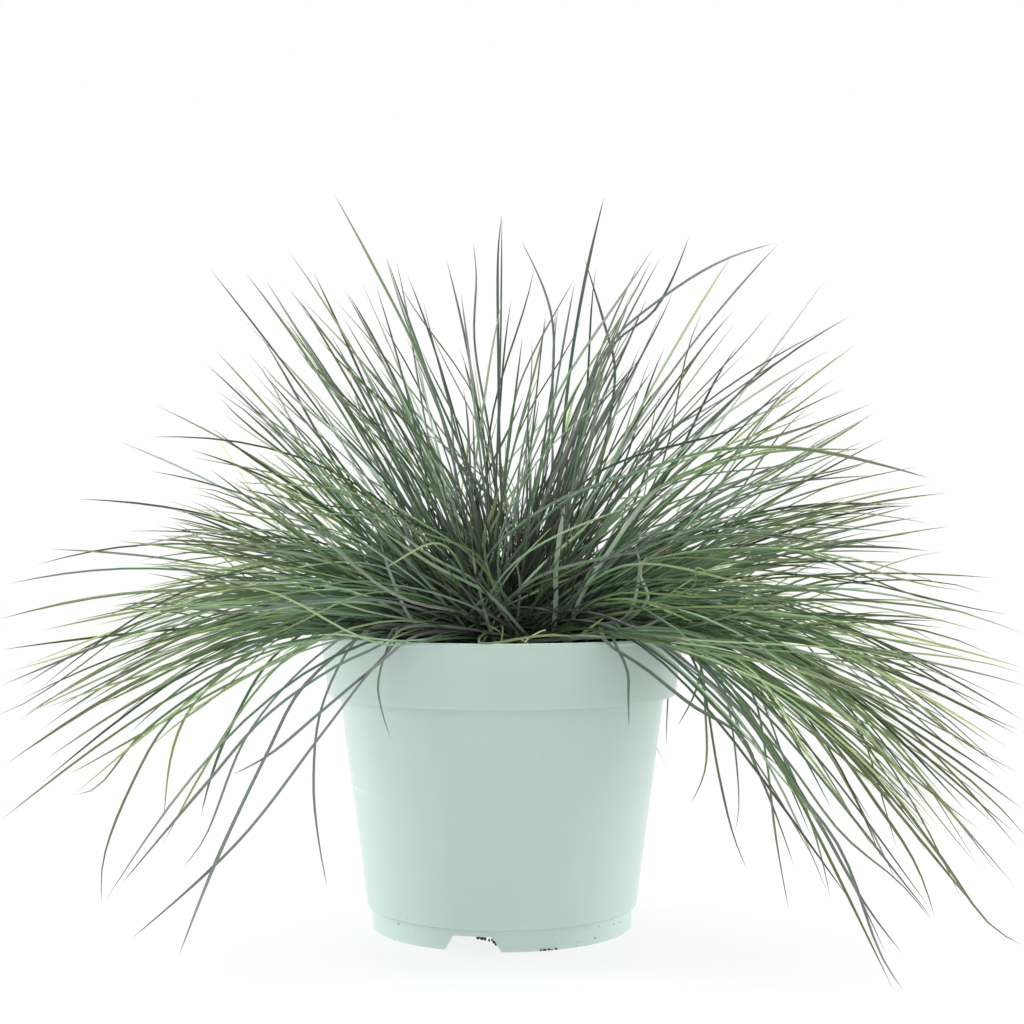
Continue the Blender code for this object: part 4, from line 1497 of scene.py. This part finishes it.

# %% [markdown]
# Fescue leaves are blue-green from a waxy bloom that rubs off, so older outer leaves turn a
# yellower green, and the undersides of upright ones look violet grey. The foot of a leaf is a
# pale sheath stained brown, and the tip dries to a violet grey, a yellow green or to straw. Four
# numbers on every point carry this: its leaf's tone, its share along the leaf, its place across
# the fold from keel to groove, and how dry the leaf is. A fifth is the leaf's painted light: a
# lightness that is partly its own and partly painted light and shade. The colour also holds
# painted shade, darker in the groove of the fold and towards the foot of each leaf, and a painted
# sheen mixed into the bloom of the lighter leaves. The material only reads them, so the streaks
# follow each leaf however it bends.

# %% Leaf material
BROWN_VIOLET = (0.140, 0.112, 0.106)
VIOLET_GREY = (0.150, 0.150, 0.148)
BLUE_GREEN = (0.086, 0.182, 0.116)
MID_GREEN = (0.088, 0.218, 0.066)
YELLOW_GREEN = (0.165, 0.285, 0.042)
PALE_BLOOM_AND_SHEEN = (0.370, 0.415, 0.360)
GROOVE_SHADE_GREEN = (0.034, 0.088, 0.034)
TIP_GREY = (0.195, 0.180, 0.175)
TIP_GREEN = (0.235, 0.270, 0.075)
STRAW_LIGHT = (0.235, 0.200, 0.120)
STRAW_DARK = (0.165, 0.125, 0.080)
FOOT_STAIN = ((0.0, (0.050, 0.028, 0.024)), (0.02, (0.075, 0.050, 0.040)), (0.05, (0.090, 0.095, 0.065)))


def leaf_streaks(tree, along, fold, light):
    """Streaks that run along the leaf, different on each one."""
    sockets = {
        "X": maths(tree, "MULTIPLY", fold, 3.0),
        "Y": maths(tree, "MULTIPLY", along, 9.0),
        "Z": maths(tree, "MULTIPLY", light, 40.0),
    }
    place = add_node(tree, "ShaderNodeCombineXYZ", sockets).outputs["Vector"]
    return noise(tree, place, 1.0, 3.0)


def leaf_material():
    material, tree, shader = new_material("fescue_leaf")
    facts = add_node(tree, "ShaderNodeAttribute", attribute_name="leaf_facts")
    split = add_node(tree, "ShaderNodeSeparateXYZ", {"Vector": facts.outputs["Vector"]})
    tone, along, fold = split.outputs
    dryness = facts.outputs["Alpha"]
    # Painted light: each leaf's lightness, partly its own and partly how lit or shaded it is drawn.
    light = add_node(tree, "ShaderNodeAttribute", attribute_name="leaf_light").outputs["Fac"]
    streaks = leaf_streaks(tree, along, fold, light)
    drift = maths(tree, "MULTIPLY", maths(tree, "SUBTRACT", streaks, 0.5), 0.7)
    aged = maths(tree, "MULTIPLY", maths(tree, "SUBTRACT", between(tree, along, 0.05, 0.75), 0.60), 0.45)
    mixed_tone = maths(tree, "ADD", tone, maths(tree, "ADD", drift, aged), True)
    stops = ((0.0, BROWN_VIOLET), (0.08, VIOLET_GREY), (0.24, BLUE_GREEN), (0.55, MID_GREEN), (0.95, YELLOW_GREEN))
    green = ramp(tree, mixed_tone, stops)
    bloom = between(tree, streaks, 0.40, 0.68)
    # Painted sheen: the pale bloom is partly the real waxy bloom and partly a painted sheen, mixed in more on leaves
    # with more painted light.
    bloom_and_sheen_share = maths(tree, "MULTIPLY", maths(tree, "ADD", bloom, 0.3), maths(tree, "MULTIPLY", light, 0.27), True)
    waxy_and_sheen = mix_colours(tree, bloom_and_sheen_share, green, PALE_BLOOM_AND_SHEEN)
    # Painted shade: the groove of the fold is darkened, as shade in the crease.
    groove_shaded = mix_colours(tree, maths(tree, "MULTIPLY", fold, 0.45, True), waxy_and_sheen, GROOVE_SHADE_GREEN)
    keeled = mix_colours(tree, maths(tree, "MULTIPLY", fold, -0.30, True), groove_shaded, VIOLET_GREY)
    tip_colour = mix_colours(tree, between(tree, tone, 0.35, 0.70), TIP_GREY, TIP_GREEN)
    tip_share = maths(tree, "MULTIPLY", between(tree, along, 0.62, 0.97), 0.75)
    tipped = mix_colours(tree, tip_share, keeled, tip_colour)
    straw = mix_colours(tree, bloom, STRAW_LIGHT, STRAW_DARK)
    dry_share = between(tree, maths(tree, "ADD", dryness, maths(tree, "MULTIPLY", along, 0.60)), 1.02, 1.20)
    dried = mix_colours(tree, dry_share, tipped, straw)
    # Painted shade: each leaf is darkened towards its foot, inside the clump. Leaves with painted light above 1.1 are
    # spared more of it, up to most of it at 1.8, and the painted light then scales the whole colour.
    painted_foot_shade = between(tree, along, -0.14, 0.42)
    lit_leaf_share = between(tree, light, 1.1, 1.8)
    depth_shade = maths(tree, "MAXIMUM", painted_foot_shade, maths(tree, "MULTIPLY", lit_leaf_share, 0.85))
    shade = maths(tree, "MULTIPLY", light, depth_shade)
    shades = add_node(tree, "ShaderNodeCombineXYZ", {"X": shade, "Y": shade, "Z": shade}).outputs["Vector"]
    lit = mix_colours(tree, 1.0, dried, shades, "MULTIPLY")
    foot = ramp(tree, along, FOOT_STAIN)
    rooted = mix_colours(tree, between(tree, along, 0.015, 0.065), foot, lit)
    tree.links.new(rooted, shader.inputs["Base Color"])
    rough = maths(tree, "ADD", maths(tree, "MULTIPLY", bloom, 0.16), 0.40)
    tree.links.new(rough, shader.inputs["Roughness"])
    shader.inputs["Specular IOR Level"].default_value = 0.35
    bump(tree, shader, streaks, 0.00012, 0.5)
    return material


fescue_leaf = leaf_material()

# %% [markdown]
# Last, the leaves of each tuft are joined to one piece that takes the tuft's place. Joining keeps
# the number of objects low, and each piece can still be lifted out on its own.

# %% Join the leaves of each tuft
def leaf_facts(blade):
    master = leaf_masters[len(blade.path) - 1]
    facts = np.zeros((len(master.points), 4), np.float32)
    facts[:, 0] = blade.tone
    facts[:, 1] = master.points[:, 2]
    facts[:, 2] = master.fold
    facts[:, 3] = blade.dryness
    return facts


def tuft_piece(row):
    blades = row["blades"]
    masters = [leaf_masters[len(blade.path) - 1] for blade in blades]
    laid = [lay_leaf(blade.path, blade.width, blade.roll, blade.twist) for blade in blades]
    piece = join_copies(f"leaves_{row['number']}", [(points, master.faces) for points, master in zip(laid, masters)])
    attribute = piece.data.attributes.new("leaf_facts", "FLOAT_COLOR", "POINT")
    attribute.data.foreach_set("color", np.vstack([leaf_facts(blade) for blade in blades]).ravel())
    stamp_copies(piece, "leaf_light", [blade.light for blade in blades], [len(points) for points in laid])
    piece.data.materials.append(fescue_leaf)
    finish_piece(piece, "leaf_blade", f"tuft_{row['number']}", smooth_angle=60)
    return len(piece.data.polygons)


face_count = sum(tuft_piece(row) for row in tufts)
print(len(tufts), "tufts of fine leaves,", face_count, "faces")

# %% [markdown]
# The looks must not change the plant's size. Both boxes are printed side by side: the solid
# model's, kept from the start, and that of what is now shown.

# %% Sizes
shown_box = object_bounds()
sizes = {"cad": [list(corner) for corner in cad_box], "shown": [list(corner) for corner in shown_box]}
for name, (low, high) in sizes.items():
    print(name, "box", [round((b - a) * 1000) for a, b in zip(low, high)], "mm")
